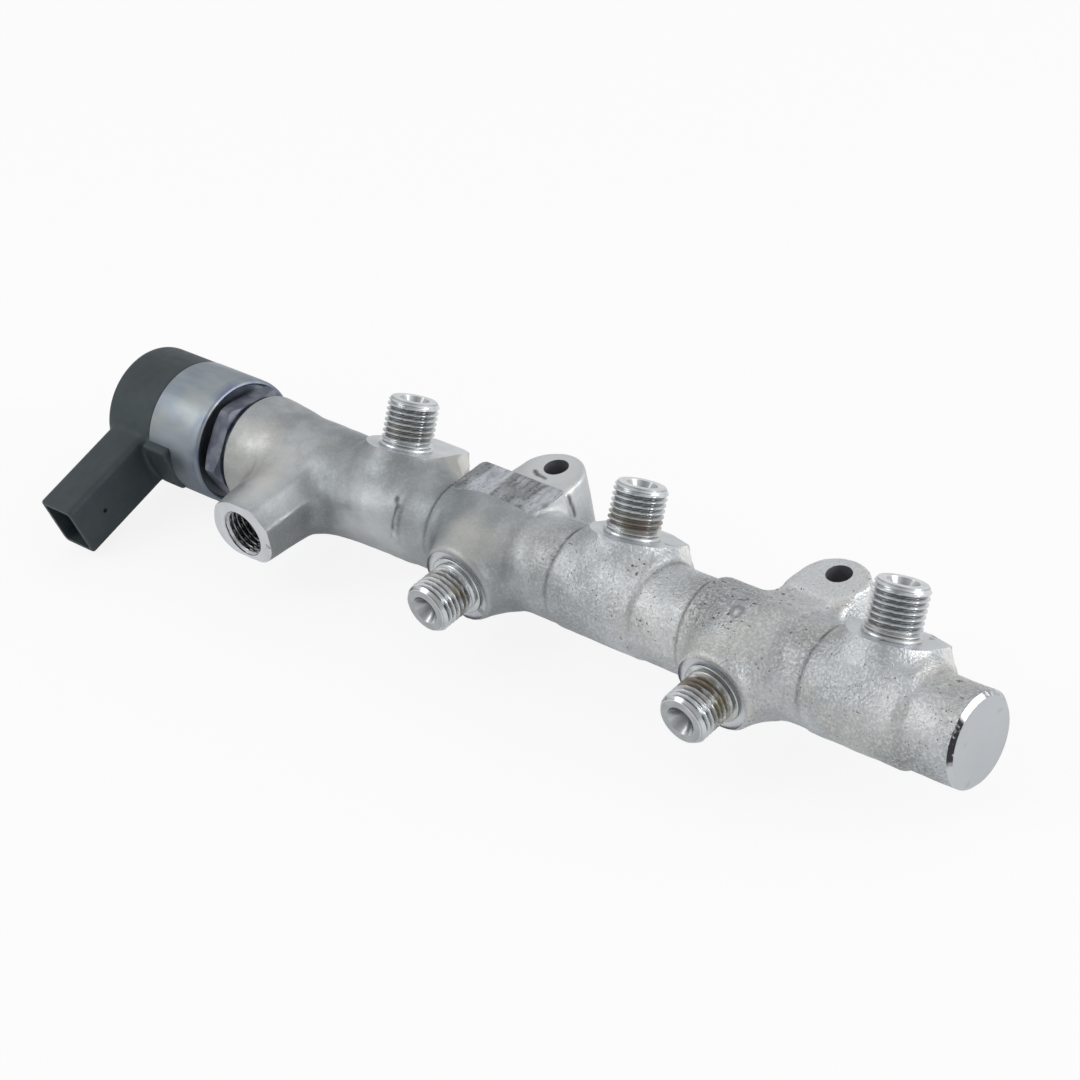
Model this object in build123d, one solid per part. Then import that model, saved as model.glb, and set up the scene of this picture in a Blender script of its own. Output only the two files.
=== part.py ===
"""High-pressure diesel fuel rail with an electric pressure control valve, in millimetres.

The forged rail is modelled about its gallery axis, with x = 0 at the middle upright fitting.
Everything is then moved so that the origin is the centre of the two mounting holes, on the
seat faces of the ears. +X runs along the rail towards its closed end, +Z along the mounting
bolts, and -Y is the side of the front fittings.
"""
import os
from math import cos, radians, sin, sqrt, tan

from build123d import *

# Fittings
upright_pitch = 80.4             # between the upright injector fittings
upright_tilt = 30.0              # degrees from +Z towards +Y
upright_tip = 29.3               # gallery axis to the fitting's end
upright_pad = 16.0               # gallery axis to the spot-faced pad
front_x = (-40.2, 45.0)          # stations of the two front fittings
front_tip = 30.4
front_seat = 17.8                # gallery axis to the front spot faces
thread_radius = 7.0              # M14 x 1.5
thread_chamfer = 0.8
thread_collar = 1.1              # how far the rounded collar at the base stands out
collar_height = 1.4
cone_mouth_radius = 3.9          # 60 degree sealing cone
outlet_bore_radius = 1.4

# Rail forging
bore_radius = 5.0                # gallery
bore_end_clearance = 13.0        # solid metal left at the closed end
closed_end_reach = 29.7          # last upright fitting to the closed end
closed_end_radius = 12.35
closed_end_length = 17.0
end_chamfer = 1.1
tube_radius = 12.9
upright_block_radius = 13.6
upright_block_shift = 0.4        # the thick stretch bulges towards its upright fitting
block_half_width = 13.5          # thick stretch to each side of an upright fitting
seam_run = 0.8                   # length over which the thickness changes
valve_boss_reach = 52.4          # first upright fitting to the valve boss's face
valve_boss_radius = 16.2
valve_boss_length = 15.0
valve_boss_draft = 0.9
valve_boss_shoulder = 4.0
valve_boss_neck_radius = 14.5
front_block_radius = 13.7
front_block_shift = 0.6          # the front blocks bulge towards the back and the top
front_block_shift_angle = 47.0   # degrees from +Z towards +Y
front_block_spans = ((-56.6, -14.0), (29.6, 66.5))

# Bosses
pad_radius = 10.7                # round front of each pad
pad_flanks = ((8.4, 16.6), (11.5, 9.3), (11.2, 9.4))    # half width and reach of its side corners
pad_backs = ((5.0, 18.0), (3.0, 13.0), (3.5, 12.6))     # half width and reach of its back corners
pad_draft = 9.0                  # degrees
front_boss_radius = 11.0
front_boss_shift = 0.8
front_boss_rim = 0.7             # the forging stands this far above the spot face
front_boss_draft = 16.0
front_boss_root = 2.0            # forged fillet where the boss leaves the tube
spot_face_radius = 10.4

# Return port
port_setback = 24.0              # valve boss face to the port's axis
port_face = 31.3
port_width = 22.4
port_height = 17.6
port_rise = 0.9                  # the boss stands this far above the port's axis
port_upper_corner = 5.0
port_upper_round = 2.0
port_lower_round = 7.6
port_draft = 3.0
port_thread_radius = 6.25        # M14 x 1.5, cut bore
port_mouth_radius = 7.0
port_thread_depth = 13.5
port_passage_radius = 3.2

# Mounting ears
ear_x = (-39.1, 53.9)            # stations of the mounting holes
ear_reach = 22.6                 # gallery axis to the hole
ear_hole_radius = 3.4
ear_top = 12.0
ear_bottom = -8.0
ear_round_radius = 10.0
ear_round_reach = 19.4
ear_root_half_width = 12.0
ear_slope_start = 14.5           # the top face slopes down to the tube in front of this
ear_slope_drop = 2.0
ear_slope_run = 5.0
ear_edge = 0.8

# Flat platform over the first front fitting
platform_x = (-57.0, -26.5)
platform_front = 0.4
platform_back = 14.0
platform_top = 13.7

# Valve seatings in the rail
nut_thread_radius = 12.0         # M24 x 1.5
chamber_radius = 10.5
chamber_depth = 26.6             # valve boss face to the chamber's end
nose_bore_radius = 7.6
nose_seat_depth = 34.8           # valve boss face to the nose washer's seat
running_clearance = 0.05
seating_gap = 0.05

# Valve
can_radius = 18.3
can_wall = 1.6
can_length = 20.3
can_nut_gap = 1.3                # can rim to the nut's hexagon
can_rim = 1.6                    # the end wall is set back behind this rim
can_end_wall = 2.0
nut_hex_flats = 30.0
nut_hex_length = 5.4
nut_hex_chamfer = 0.8
nut_collar_radius = 14.4
nut_collar_length = 1.4          # hexagon to the valve boss face
nut_shank_length = 13.8
nut_hex_turn = 22.5              # degrees from +Z towards -Y of one corner
nut_bore_radius = 9.0
washer_thickness = 1.0
washer_hole_radius = 3.0
body_land_radius = chamber_radius - running_clearance
body_land_length = 6.0
body_neck_radius = 6.6
body_nose_length = 7.5
ring_play = 0.3
o_ring_section = 1.2             # radius of the rubber section
backup_ring_length = 1.2
magnet_flange_length = 4.8
pin_radius = 2.0
ball_radius = 1.5
seat_hole_radius = 0.8
seat_insert_radius = 3.6
seat_insert_length = 6.5
ball_chamber_radius = 3.1
ball_chamber_length = 6.5
return_hole_radius = 1.25
return_hole_count = 4
gap_disc_thickness = 0.3
gap_disc_radius = 7.6
armature_radius = 8.4
armature_length = 7.0
armature_gap = 0.4
sleeve_wall = 0.5
bobbin_wall = 0.9
back_iron_length = 3.2
armature_stop_gap = 0.1          # left behind the armature at full lift
back_iron_spigot_radius = 6.0
back_iron_spigot_length = 5.0
lift = 0.4                       # travel of the armature away from the seat
spring_radius = 2.9
spring_wire_radius = 0.4
spring_turns = 5.0
spring_pocket_radius = 3.8
spring_pocket_depth = 4.0
shim_thickness = 0.6
can_ring_section = 0.8

# Plastic cap and connector
cap_length = 18.5
cap_radius = 18.2
cap_edge = 1.6
connector_turn = 104.0           # degrees from +Z towards -Y
connector_setback = 9.4          # can's edge to the connector's middle
connector_reach = 47.0
connector_width = 13.6           # along X
connector_height = 17.6
connector_lift = 0.6             # its middle lies this far above the turned direction
connector_corner = 2.0
connector_wall = 1.7
socket_depth = 18.0
socket_corner = 0.9
tongue_length = 8.9
tongue_width = 15.0
tongue_lift = 1.5                # its middle lies this far above the turned direction
tongue_top = 18.6                # gallery axis to its flat face
tongue_corner = 1.5
vent_radius = 0.7                # small hole in the connector's side
vent_reach = 37.5
vent_rise = 0.5
blade_width = 2.8
blade_thickness = 0.8
blade_spacing = 5.0
blade_reach = 36.5
leg_reach = 12.6

# Derived directions and places
upright = Vector(0, sin(radians(upright_tilt)), cos(radians(upright_tilt)))
front = Vector(0, -1, 0)
connector_dir = Vector(0, -sin(radians(connector_turn)), cos(radians(connector_turn)))
upright_x = (-upright_pitch, 0.0, upright_pitch)
closed_end_x = upright_pitch + closed_end_reach
valve_boss_face_x = -upright_pitch - valve_boss_reach
place = Location((-(ear_x[0] + ear_x[1]) / 2, -ear_reach, -ear_bottom))
big = 60.0                       # longer than anything that it cuts

nut_hex_x = valve_boss_face_x - nut_collar_length - nut_hex_length
body_shoulder_x = valve_boss_face_x + nut_shank_length
nut_thread_end_x = body_shoulder_x + 0.2
chamber_end_x = valve_boss_face_x + chamber_depth
nose_seat_x = valve_boss_face_x + nose_seat_depth
port_x = valve_boss_face_x + port_setback
can_end_x = nut_hex_x - can_nut_gap
can_start_x = can_end_x - can_length
cap_end_x = can_start_x - cap_length
connector_x = can_start_x - connector_setback
tongue_end_x = can_start_x + tongue_length
can_inner_radius = can_radius - can_wall
can_wall_x = can_end_x - can_rim - can_end_wall
pole_x = can_wall_x - magnet_flange_length
body_waist_radius = nut_bore_radius - 0.2
land_end_x = body_shoulder_x + body_land_length
washer_x = nose_seat_x - washer_thickness
nose_start_x = washer_x - body_nose_length
ring_groove_radius = chamber_radius - 2 * o_ring_section - running_clearance
ring_groove_length = 2 * o_ring_section + backup_ring_length + ring_play
groove_x = body_shoulder_x + (body_land_length - ring_groove_length) / 2
seat_x = washer_x - seat_insert_length
chamber_x = seat_x - ball_chamber_length
ball_x = seat_x - sqrt(ball_radius ** 2 - seat_hole_radius ** 2) - seating_gap
armature_x = pole_x - gap_disc_thickness - armature_gap - armature_length
back_iron_x = armature_x - lift - armature_stop_gap - back_iron_length
shim_x = back_iron_x - back_iron_spigot_length + 1.2
can_ring_x = back_iron_x + back_iron_length / 2
sleeve_outer = armature_radius + running_clearance + sleeve_wall


def turned(*stations):
    """A solid turned about the gallery axis through (x, radius) stations."""
    first, last = stations[0], stations[-1]
    points = [(first[0], 0), *stations, (last[0], 0)]
    return revolve(make_face(Polyline(*points, close=True)), Axis.X)


def rod(x_start, x_end, radius):
    return turned((x_start, radius), (x_end, radius))


def ring(x_start, x_end, inner, outer):
    return rod(x_start, x_end, outer) - rod(x_start, x_end, inner)


def station(x, direction, distance):
    """A plane square to a radial direction, with its own x along the rail."""
    return Plane(origin=Vector(x, 0, 0) + direction * distance, x_dir=(1, 0, 0), z_dir=direction)


def spun(*stations):
    """A solid turned about its own Z axis through (radius, height) stations."""
    points = [(0, stations[0][1]), *stations, (0, stations[-1][1])]
    return revolve(make_face(Plane.XZ * Polyline(*points, close=True)), Axis.Z)


def male_fitting(length):
    """Threaded spigot standing on its spot face at height 0, with its rounded base collar."""
    return spun(
        (thread_radius + thread_collar, 0),
        (thread_radius + thread_collar * 0.8, collar_height * 0.5),
        (thread_radius, collar_height),
        (thread_radius, length - thread_chamfer),
        (thread_radius - thread_chamfer, length),
    )


def fitting_bore(length, depth):
    """Sealing cone and drilling, from the fitting's end at `length` down to `-depth`."""
    cone_depth = (cone_mouth_radius - outlet_bore_radius) / tan(radians(30))
    return spun(
        (outlet_bore_radius, -depth),
        (outlet_bore_radius, length - cone_depth),
        (cone_mouth_radius, length),
    )


def tube_body():
    """The turned outline of the forging between its valve boss and its closed end."""
    boss_end = valve_boss_face_x + valve_boss_length
    closed_end_start = closed_end_x - closed_end_length
    return turned(
        (valve_boss_face_x, valve_boss_radius - end_chamfer),
        (valve_boss_face_x + end_chamfer, valve_boss_radius),
        (boss_end - valve_boss_shoulder, valve_boss_radius - valve_boss_draft),
        (boss_end, valve_boss_neck_radius),
        (nose_seat_x, valve_boss_neck_radius),
        (upright_x[0] - block_half_width, tube_radius),
        (closed_end_start - seam_run, tube_radius),
        (closed_end_start, closed_end_radius),
        (closed_end_x - end_chamfer, closed_end_radius),
        (closed_end_x, closed_end_radius - end_chamfer),
    )


def thick_stretch(start, end, radius, shift, shift_angle):
    """A fuller stretch of the tube, its middle shifted at an angle from +Z towards +Y."""
    angle = radians(shift_angle)
    stretch = turned(
        (start, radius - seam_run),
        (start + seam_run, radius),
        (end - seam_run, radius),
        (end, radius - seam_run),
    )
    return Pos(0, shift * sin(angle), shift * cos(angle)) * stretch


def thick_stretches():
    """One behind each upright fitting, and one behind each front fitting."""
    stretches = Part()
    for x in upright_x:
        stretches += thick_stretch(
            x - block_half_width,
            x + block_half_width,
            upright_block_radius,
            upright_block_shift,
            upright_tilt,
        )
    for start, end in front_block_spans:
        stretches += thick_stretch(
            start,
            end,
            front_block_radius,
            front_block_shift,
            front_block_shift_angle,
        )
    return stretches


def upright_boss(x, flank, back):
    """Drafted boss of an upright fitting: round in front, with cut corners behind."""
    spread = upright_pad * tan(radians(pad_draft))
    tail = Polyline(
        (flank[0], flank[1]),
        (back[0], back[1]),
        (-back[0], back[1]),
        (-flank[0], flank[1]),
    )
    outline = make_hull(Circle(pad_radius).edges() + tail.edges())
    outline = offset(outline, spread, kind=Kind.INTERSECTION)
    return extrude(station(x, upright, 0) * outline, amount=upright_pad, taper=pad_draft)


def front_boss(x):
    """Drafted round boss of a front fitting; the spot face is sunk into it later."""
    height = front_seat + front_boss_rim
    spread = height * tan(radians(front_boss_draft))
    base = Pos(front_boss_shift, front_boss_shift) * Circle(front_boss_radius + spread)
    return extrude(station(x, front, 0) * base, amount=height, taper=front_boss_draft)


def port_boss():
    """Drafted boss of the return port, square with cut corners."""
    spread = port_face * tan(radians(port_draft))
    outline = Rectangle(port_width + 2 * spread, port_height + 2 * spread)
    outline = fillet(outline.vertices().sort_by(Axis.Y)[:2], port_lower_round + spread)
    outline = chamfer(outline.vertices().sort_by(Axis.Y)[-2:], port_upper_corner)
    outline = fillet(outline.vertices().sort_by(Axis.Y)[-4:], port_upper_round)
    outline = Pos(0, port_rise) * outline
    return extrude(station(port_x, front, 0) * outline, amount=port_face, taper=port_draft)


def port_bore():
    depth = port_face - chamber_radius + 2.0
    return station(port_x, front, port_face).location * spun(
        (port_passage_radius, -depth),
        (port_passage_radius, -port_thread_depth),
        (port_thread_radius, -port_thread_depth),
        (port_thread_radius, port_thread_radius - port_mouth_radius),
        (port_mouth_radius, 0),
    )


def ear(x):
    """Mounting ear: its outline seen along the bolt, cut to its profile seen along the rail."""
    round_end = Pos(x, ear_round_reach) * Circle(ear_round_radius)
    root = Line((x - ear_root_half_width, 0), (x + ear_root_half_width, 0))
    outline = make_hull(round_end.edges() + root.edges())
    column = extrude(Pos(0, 0, ear_bottom) * outline, amount=ear_top - ear_bottom)
    reach = ear_round_reach + ear_round_radius
    slope_end = ear_slope_start - ear_slope_run
    side = make_face(Plane.YZ * Polyline(
        (0, ear_bottom),
        (reach, ear_bottom),
        (reach, ear_top),
        (ear_slope_start, ear_top),
        (slope_end, ear_top - ear_slope_drop),
        (0, ear_top - ear_slope_drop),
        close=True,
    ))
    side = extrude(side, amount=big, both=True)
    side = Pos(x, 0, 0) * side
    body = column & side
    rims = body.faces().sort_by(Axis.Z)[-1].edges().filter_by(GeomType.CIRCLE)
    return fillet(rims, ear_edge)


def platform():
    """Flat raised platform, left without any marking."""
    width = platform_x[1] - platform_x[0]
    depth = platform_back - platform_front
    middle = ((platform_x[0] + platform_x[1]) / 2, (platform_front + platform_back) / 2, 0)
    block = extrude(Pos(*middle) * Rectangle(width, depth), amount=platform_top)
    return chamfer(block.faces().sort_by(Axis.Z)[-1].edges(), 0.6)


def gallery():
    """The valve seatings and the long blind drilling behind them."""
    bore_end = closed_end_x - bore_end_clearance
    return turned(
        (valve_boss_face_x, nut_thread_radius + 0.6),
        (valve_boss_face_x + 0.6, nut_thread_radius),
        (nut_thread_end_x, nut_thread_radius),
        (nut_thread_end_x, chamber_radius),
        (chamber_end_x, chamber_radius),
        (chamber_end_x, nose_bore_radius),
        (nose_seat_x, nose_bore_radius),
        (nose_seat_x, bore_radius),
        (bore_end - bore_radius * 0.6, bore_radius),
        (bore_end, 0.01),
    )


def rail_body():
    """One forging with its bosses, ears and fittings, then all its machined bores."""
    body = tube_body() + thick_stretches()
    for x in front_x:
        boss = front_boss(x)
        joined = body + boss
        body = fillet(new_edges(body, boss, combined=joined), front_boss_root)
    body += platform() + port_boss()
    for x, flank, back in zip(upright_x, pad_flanks, pad_backs):
        body += upright_boss(x, flank, back)
    for x in ear_x:
        body += ear(x)
    for x in front_x:
        body -= extrude(station(x, front, front_seat) * Circle(spot_face_radius), amount=big)
    for x in upright_x:
        body += station(x, upright, upright_pad).location * male_fitting(upright_tip - upright_pad)
    for x in front_x:
        body += station(x, front, front_seat).location * male_fitting(front_tip - front_seat)
    body -= gallery()
    body -= port_bore()
    for x in upright_x:
        length = upright_tip - upright_pad
        body -= station(x, upright, upright_pad).location * fitting_bore(length, upright_pad)
    for x in front_x:
        length = front_tip - front_seat
        body -= station(x, front, front_seat).location * fitting_bore(length, front_seat)
    for x in ear_x:
        body -= Pos(x, ear_reach, ear_bottom) * extrude(Circle(ear_hole_radius), amount=big)
    return body


def union_nut():
    """Hexagon with a threaded shank that clamps the valve into the rail."""
    corner = nut_hex_flats / sqrt(3)
    hexagon = Plane.YZ.offset(nut_hex_x) * RegularPolygon(corner, 6, rotation=90 + nut_hex_turn)
    nut = extrude(hexagon, amount=nut_hex_length)
    hex_end_x = nut_hex_x + nut_hex_length
    nut &= turned(
        (nut_hex_x, corner - nut_hex_chamfer),
        (nut_hex_x + nut_hex_chamfer / 2, corner),
        (hex_end_x - nut_hex_chamfer / 2, corner),
        (hex_end_x, corner - nut_hex_chamfer),
    )
    nut += ring(hex_end_x, valve_boss_face_x, nut_bore_radius, nut_collar_radius)
    shank_radius = nut_thread_radius - running_clearance
    nut += ring(valve_boss_face_x, body_shoulder_x, nut_bore_radius, shank_radius)
    return nut - rod(nut_hex_x, body_shoulder_x, nut_bore_radius)


def valve_body():
    """Turned body: magnet flange, waist through the nut, sealing land, neck and nose."""
    flange_x = can_wall_x
    stations = (
        (flange_x - magnet_flange_length, can_inner_radius - running_clearance),
        (flange_x, can_inner_radius - running_clearance),
        (flange_x, body_waist_radius),
        (body_shoulder_x, body_waist_radius),
        (body_shoulder_x, body_land_radius),
        (land_end_x, body_land_radius),
        (land_end_x, body_neck_radius),
        (nose_start_x, body_neck_radius),
        (nose_start_x, nose_bore_radius - running_clearance),
        (washer_x, nose_bore_radius - running_clearance),
    )
    body = turned(*stations)
    body -= ring(groove_x, groove_x + ring_groove_length, ring_groove_radius, big)
    body -= rod(pole_x, chamber_x, pin_radius + running_clearance)
    body -= rod(chamber_x, seat_x, ball_chamber_radius)
    body -= rod(seat_x, washer_x, seat_insert_radius)
    for i in range(return_hole_count):
        angle = 45 + 360 * i / return_hole_count
        hole = Rotation(angle, 0, 0) * Cylinder(return_hole_radius, 2 * body_neck_radius + 2)
        body -= Pos((land_end_x + nose_start_x) / 2, 0, 0) * hole
    return body


def seat_insert():
    """Hardened seat pressed into the nose; the ball closes its hole."""
    return ring(seat_x, washer_x, seat_hole_radius, seat_insert_radius)


def armature_pin():
    """Guided pin between the ball and the armature, with a flat tip on the ball."""
    return turned(
        (armature_x + spring_pocket_depth, pin_radius),
        (ball_x - ball_radius - 0.6, pin_radius),
        (ball_x - ball_radius, pin_radius - 0.6),
    )


def armature():
    body = turned(
        (armature_x, armature_radius - 0.4),
        (armature_x + 0.4, armature_radius),
        (armature_x + armature_length, armature_radius),
    )
    body -= rod(armature_x, armature_x + spring_pocket_depth, spring_pocket_radius)
    return body - rod(armature_x + spring_pocket_depth, pole_x, pin_radius)


def armature_spring():
    """Open coil spring between the armature's pocket and the shim."""
    start = shim_x + shim_thickness + spring_wire_radius
    end = armature_x + spring_pocket_depth - spring_wire_radius
    path = Helix((end - start) / spring_turns, end - start, spring_radius, direction=(1, 0, 0))
    path = Pos(start, 0, 0) * path
    wire = Plane(origin=path @ 0, z_dir=path % 0) * Circle(spring_wire_radius)
    return sweep(wire, path, is_frenet=True)


def coil_bobbin():
    """Plastic spool between two flanges."""
    inner = sleeve_outer + running_clearance
    start, end = back_iron_x + back_iron_length, pole_x
    spool = ring(start, end, inner, inner + bobbin_wall)
    spool += ring(start, start + bobbin_wall, inner, can_inner_radius - running_clearance)
    spool += ring(end - bobbin_wall, end, inner, can_inner_radius - running_clearance)
    return spool


def coil_winding():
    inner = sleeve_outer + running_clearance + bobbin_wall
    start, end = back_iron_x + back_iron_length, pole_x
    return ring(start + bobbin_wall, end - bobbin_wall, inner, can_inner_radius - 0.6)


def back_iron():
    """Rear yoke of the magnet, with the spigot that holds the spring."""
    spigot_x = back_iron_x - back_iron_spigot_length
    body = turned(
        (spigot_x, back_iron_spigot_radius),
        (back_iron_x, back_iron_spigot_radius),
        (back_iron_x, can_inner_radius - running_clearance),
        (back_iron_x + back_iron_length, can_inner_radius - running_clearance),
    )
    groove = can_inner_radius - 2 * can_ring_section
    body -= ring(can_ring_x - can_ring_section, can_ring_x + can_ring_section, groove, big)
    body -= rod(shim_x, back_iron_x + back_iron_length, spring_pocket_radius)
    for side in (-1, 1):
        body -= leg_hole(side)
    return body


def solenoid_can():
    """Deep-drawn steel cup, its end wall set back behind the rim, with a window for the tongue."""
    can = ring(can_start_x, can_end_x, can_inner_radius, can_radius)
    can = chamfer(can.edges().filter_by(GeomType.CIRCLE).group_by(SortBy.LENGTH)[-1], 0.4)
    hole_radius = body_waist_radius + running_clearance
    can += ring(can_wall_x, can_wall_x + can_end_wall, hole_radius, can_radius - 0.4)
    return can - tongue(running_clearance)


def connector_prism(start, end, width, height, corner):
    """A rounded prism along the connector's direction."""
    outline = Pos(0, connector_lift) * RectangleRounded(width, height, corner)
    return extrude(station(connector_x, connector_dir, start) * outline, amount=end - start)


def tongue(gap):
    """The cap's flat-faced tongue, which fills the can's window beside the connector."""
    length = tongue_end_x + gap - can_start_x
    outline = Pos(length / 2, tongue_lift) * Rectangle(length, tongue_width + 2 * gap)
    block = extrude(station(can_start_x, connector_dir, 0) * outline, amount=tongue_top)
    edges = block.edges().filter_by(Axis.X).group_by(Axis((0, 0, 0), connector_dir))[-1]
    block = fillet(edges.sort_by(Axis.Z)[0], tongue_corner)
    return block - rod(can_start_x, tongue_end_x + gap, can_inner_radius)


def leg_hole(side):
    leg = station(connector_x, connector_dir, leg_reach)
    return leg.location * Pos(0, side * blade_spacing / 2, 0) * Rotation(0, 90, 0) * Cylinder(1.0, big)


def terminal(side):
    """Blade in the socket, and the leg that carries it to the coil."""
    offset = side * blade_spacing / 2
    blade = Pos(0, offset) * Rectangle(blade_width, blade_thickness)
    leg_plane = station(connector_x, connector_dir, leg_reach)
    blade = extrude(leg_plane * blade, amount=blade_reach - leg_reach)
    leg_end = back_iron_x + back_iron_length
    leg_length = leg_end - connector_x
    leg = Pos(leg_length / 2, offset) * Rectangle(leg_length, blade_thickness)
    leg = extrude(leg_plane * leg, amount=blade_thickness)
    return blade + leg


def connector_cap():
    """Moulded cap over the can's open end, with its connector socket and tongue."""
    cap = turned(
        (cap_end_x, cap_radius - cap_edge),
        (cap_end_x + cap_edge, cap_radius),
        (can_start_x, cap_radius),
        (can_start_x, can_inner_radius - running_clearance),
        (back_iron_x, can_inner_radius - running_clearance),
    )
    cap = fillet(cap.edges().filter_by(GeomType.CIRCLE).sort_by(Axis.X)[1], cap_edge)
    cap += connector_prism(0, connector_reach, connector_width, connector_height, connector_corner)
    cap += tongue(0)
    cap -= connector_prism(
        connector_reach - socket_depth,
        connector_reach,
        connector_width - 2 * connector_wall,
        connector_height - 2 * connector_wall,
        socket_corner,
    )
    vent = Rotation(0, 90, 0) * Cylinder(vent_radius, connector_width / 2)
    vent = Pos(connector_width / 2, vent_rise) * vent
    cap -= station(connector_x, connector_dir, vent_reach).location * vent
    spigot_x = back_iron_x - back_iron_spigot_length
    cap -= rod(spigot_x, back_iron_x, back_iron_spigot_radius)
    for side in (-1, 1):
        cap -= terminal(side)
    return cap


def torus_ring(x, ring_radius, section):
    return Plane(origin=(x, 0, 0), z_dir=(1, 0, 0)).location * Torus(ring_radius, section)


parts = {
    "rail_body": rail_body(),
    "union_nut": union_nut(),
    "valve_body": valve_body(),
    "body_o_ring": torus_ring(
        groove_x + o_ring_section,
        chamber_radius - o_ring_section,
        o_ring_section,
    ),
    "backup_ring": ring(
        groove_x + ring_groove_length - backup_ring_length,
        groove_x + ring_groove_length,
        ring_groove_radius,
        chamber_radius,
    ),
    "nose_washer": ring(
        washer_x,
        nose_seat_x,
        washer_hole_radius,
        nose_bore_radius - running_clearance,
    ),
    "seat_insert": seat_insert(),
    "valve_ball": Pos(ball_x, 0, 0) * Sphere(ball_radius),
    "armature_pin": armature_pin(),
    "armature": armature(),
    "gap_disc": ring(pole_x - gap_disc_thickness, pole_x, pin_radius + 1.0, gap_disc_radius),
    "armature_sleeve": ring(
        back_iron_x + back_iron_length,
        pole_x,
        sleeve_outer - sleeve_wall,
        sleeve_outer,
    ),
    "armature_spring": armature_spring(),
    "spring_shim": rod(shim_x, shim_x + shim_thickness, spring_pocket_radius - running_clearance),
    "coil_bobbin": coil_bobbin(),
    "coil_winding": coil_winding(),
    "back_iron": back_iron(),
    "can_seal_ring": torus_ring(can_ring_x, can_inner_radius - can_ring_section, can_ring_section),
    "solenoid_can": solenoid_can(),
    "connector_cap": connector_cap(),
    "terminal_left": terminal(-1),
    "terminal_right": terminal(1),
}

if __name__ == "__main__":
    os.makedirs("parts", exist_ok=True)
    for name, shape in parts.items():
        export_step(place * shape, f"parts/{name}.step")
        print(name, len(shape.solids()), round(shape.volume))
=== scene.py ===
"""Looks of the high-pressure fuel rail with its pressure control valve.

Shapes are worked out in millimetres in the rail's own frame, whose origin is on the gallery axis
under the middle upright fitting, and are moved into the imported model's frame as they are made.
"""

from math import acos, atan2, cos, hypot, pi, radians, sin, sqrt, tan

import bmesh
import bpy
import numpy as np
import openvdb
from mathutils import Matrix, Vector


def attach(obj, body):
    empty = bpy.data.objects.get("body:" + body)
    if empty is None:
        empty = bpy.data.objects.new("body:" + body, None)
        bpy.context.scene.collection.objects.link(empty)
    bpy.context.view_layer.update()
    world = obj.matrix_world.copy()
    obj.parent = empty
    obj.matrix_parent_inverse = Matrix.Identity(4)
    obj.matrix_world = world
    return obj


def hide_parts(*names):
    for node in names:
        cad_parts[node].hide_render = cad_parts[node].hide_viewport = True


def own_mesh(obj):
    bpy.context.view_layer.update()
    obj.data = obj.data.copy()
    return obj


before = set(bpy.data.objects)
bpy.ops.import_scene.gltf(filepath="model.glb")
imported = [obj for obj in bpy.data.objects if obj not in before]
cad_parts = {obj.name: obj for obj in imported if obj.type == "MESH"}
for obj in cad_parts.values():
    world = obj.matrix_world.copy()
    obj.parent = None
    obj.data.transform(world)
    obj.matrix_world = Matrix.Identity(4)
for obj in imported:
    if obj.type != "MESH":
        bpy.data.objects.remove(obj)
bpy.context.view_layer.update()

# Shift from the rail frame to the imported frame
SHIFT = np.array((-7.4, -22.6, 8.0))

# Camera, solved from the photograph, in the rail frame
CAMERA_AT = (417.5, -391.63, 430.63)
CAMERA_RIGHT = (0.736, 0.6571, -0.1628)
CAMERA_DOWN = (0.2944, -0.5273, -0.7971)
LENS = 94.37

# Directions
ALONG = np.array((1.0, 0.0, 0.0))
UP = np.array((0.0, 0.0, 1.0))
FRONT = np.array((0.0, -1.0, 0.0))
UPRIGHT = np.array((0.0, 0.5, 0.8660254))
CONNECTOR = np.array((0.0, -sin(radians(104.0)), cos(radians(104.0))))

# Rail: the forged tube as (x, radius) stations, its ends and its thicker stretches
BOSS_FACE_X = -132.8
BOSS_FACE_RADIUS = 15.1
BOSS_CHAMFER = 1.1
CLOSED_END_X = 110.1
CLOSED_END_RADIUS = 11.25
CLOSED_RIM_RADIUS = 12.4
CLOSED_CHAMFER = 1.1
END_ALLOWANCE = 0.9              # metal that the end cuts take off
TUBE = (
    (-140.0, 16.2),
    (-128.5, 16.0),
    (-126.5, 15.7),
    (-121.0, 15.1),
    (-117.0, 14.55),
    (-101.0, 14.5),
    (-97.0, 14.2),
    (-91.0, 13.7),
    (-76.0, 12.9),
    (93.0, 12.9),
    (93.4, 12.35),
    (120.0, 12.35),
)
UPRIGHT_STRETCHES = ((-93.9, -66.9), (-13.5, 13.5), (66.9, 93.9))
UPRIGHT_SHOULDERS = ((0.3, 0.35), (1.2, 0.8), (1.4, 0.55))
UPRIGHT_STRETCH_RADIUS = 13.6
UPRIGHT_STRETCH_SHIFT = (0.2, 0.35)
FRONT_STRETCHES = (              # each thick round its fitting, and a little thinner beyond
    ((-56.6, -28.5), 13.7, (1.2, 0.6)),
    ((-56.6, -14.0), 13.2, (1.2, 1.2)),
    ((29.6, 57.0), 13.7, (1.2, 0.6)),
    ((29.6, 66.5), 13.2, (1.2, 1.0)),
)
FRONT_STRETCH_SHIFT = (0.44, 0.41)
PLATFORM = ((-56.9, -27.3), (0.5, 13.8), 13.7)
PLATFORM_CORNER = 1.8
DIE_LINE_X = -67.3

# Upright fittings, on pads that are round in front and have cut corners behind
UPRIGHT_X = (-80.4, 0.0, 80.4)
UPRIGHT_PAD = 16.0
UPRIGHT_TIP = 29.3
PAD_RADIUS = 10.7
PAD_FLANKS = ((8.4, 16.6), (11.5, 9.3), (11.2, 9.4))
PAD_BACKS = ((5.0, 18.0), (3.0, 13.0), (3.5, 12.6))
PAD_DRAFT = radians(9.0)

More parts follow.
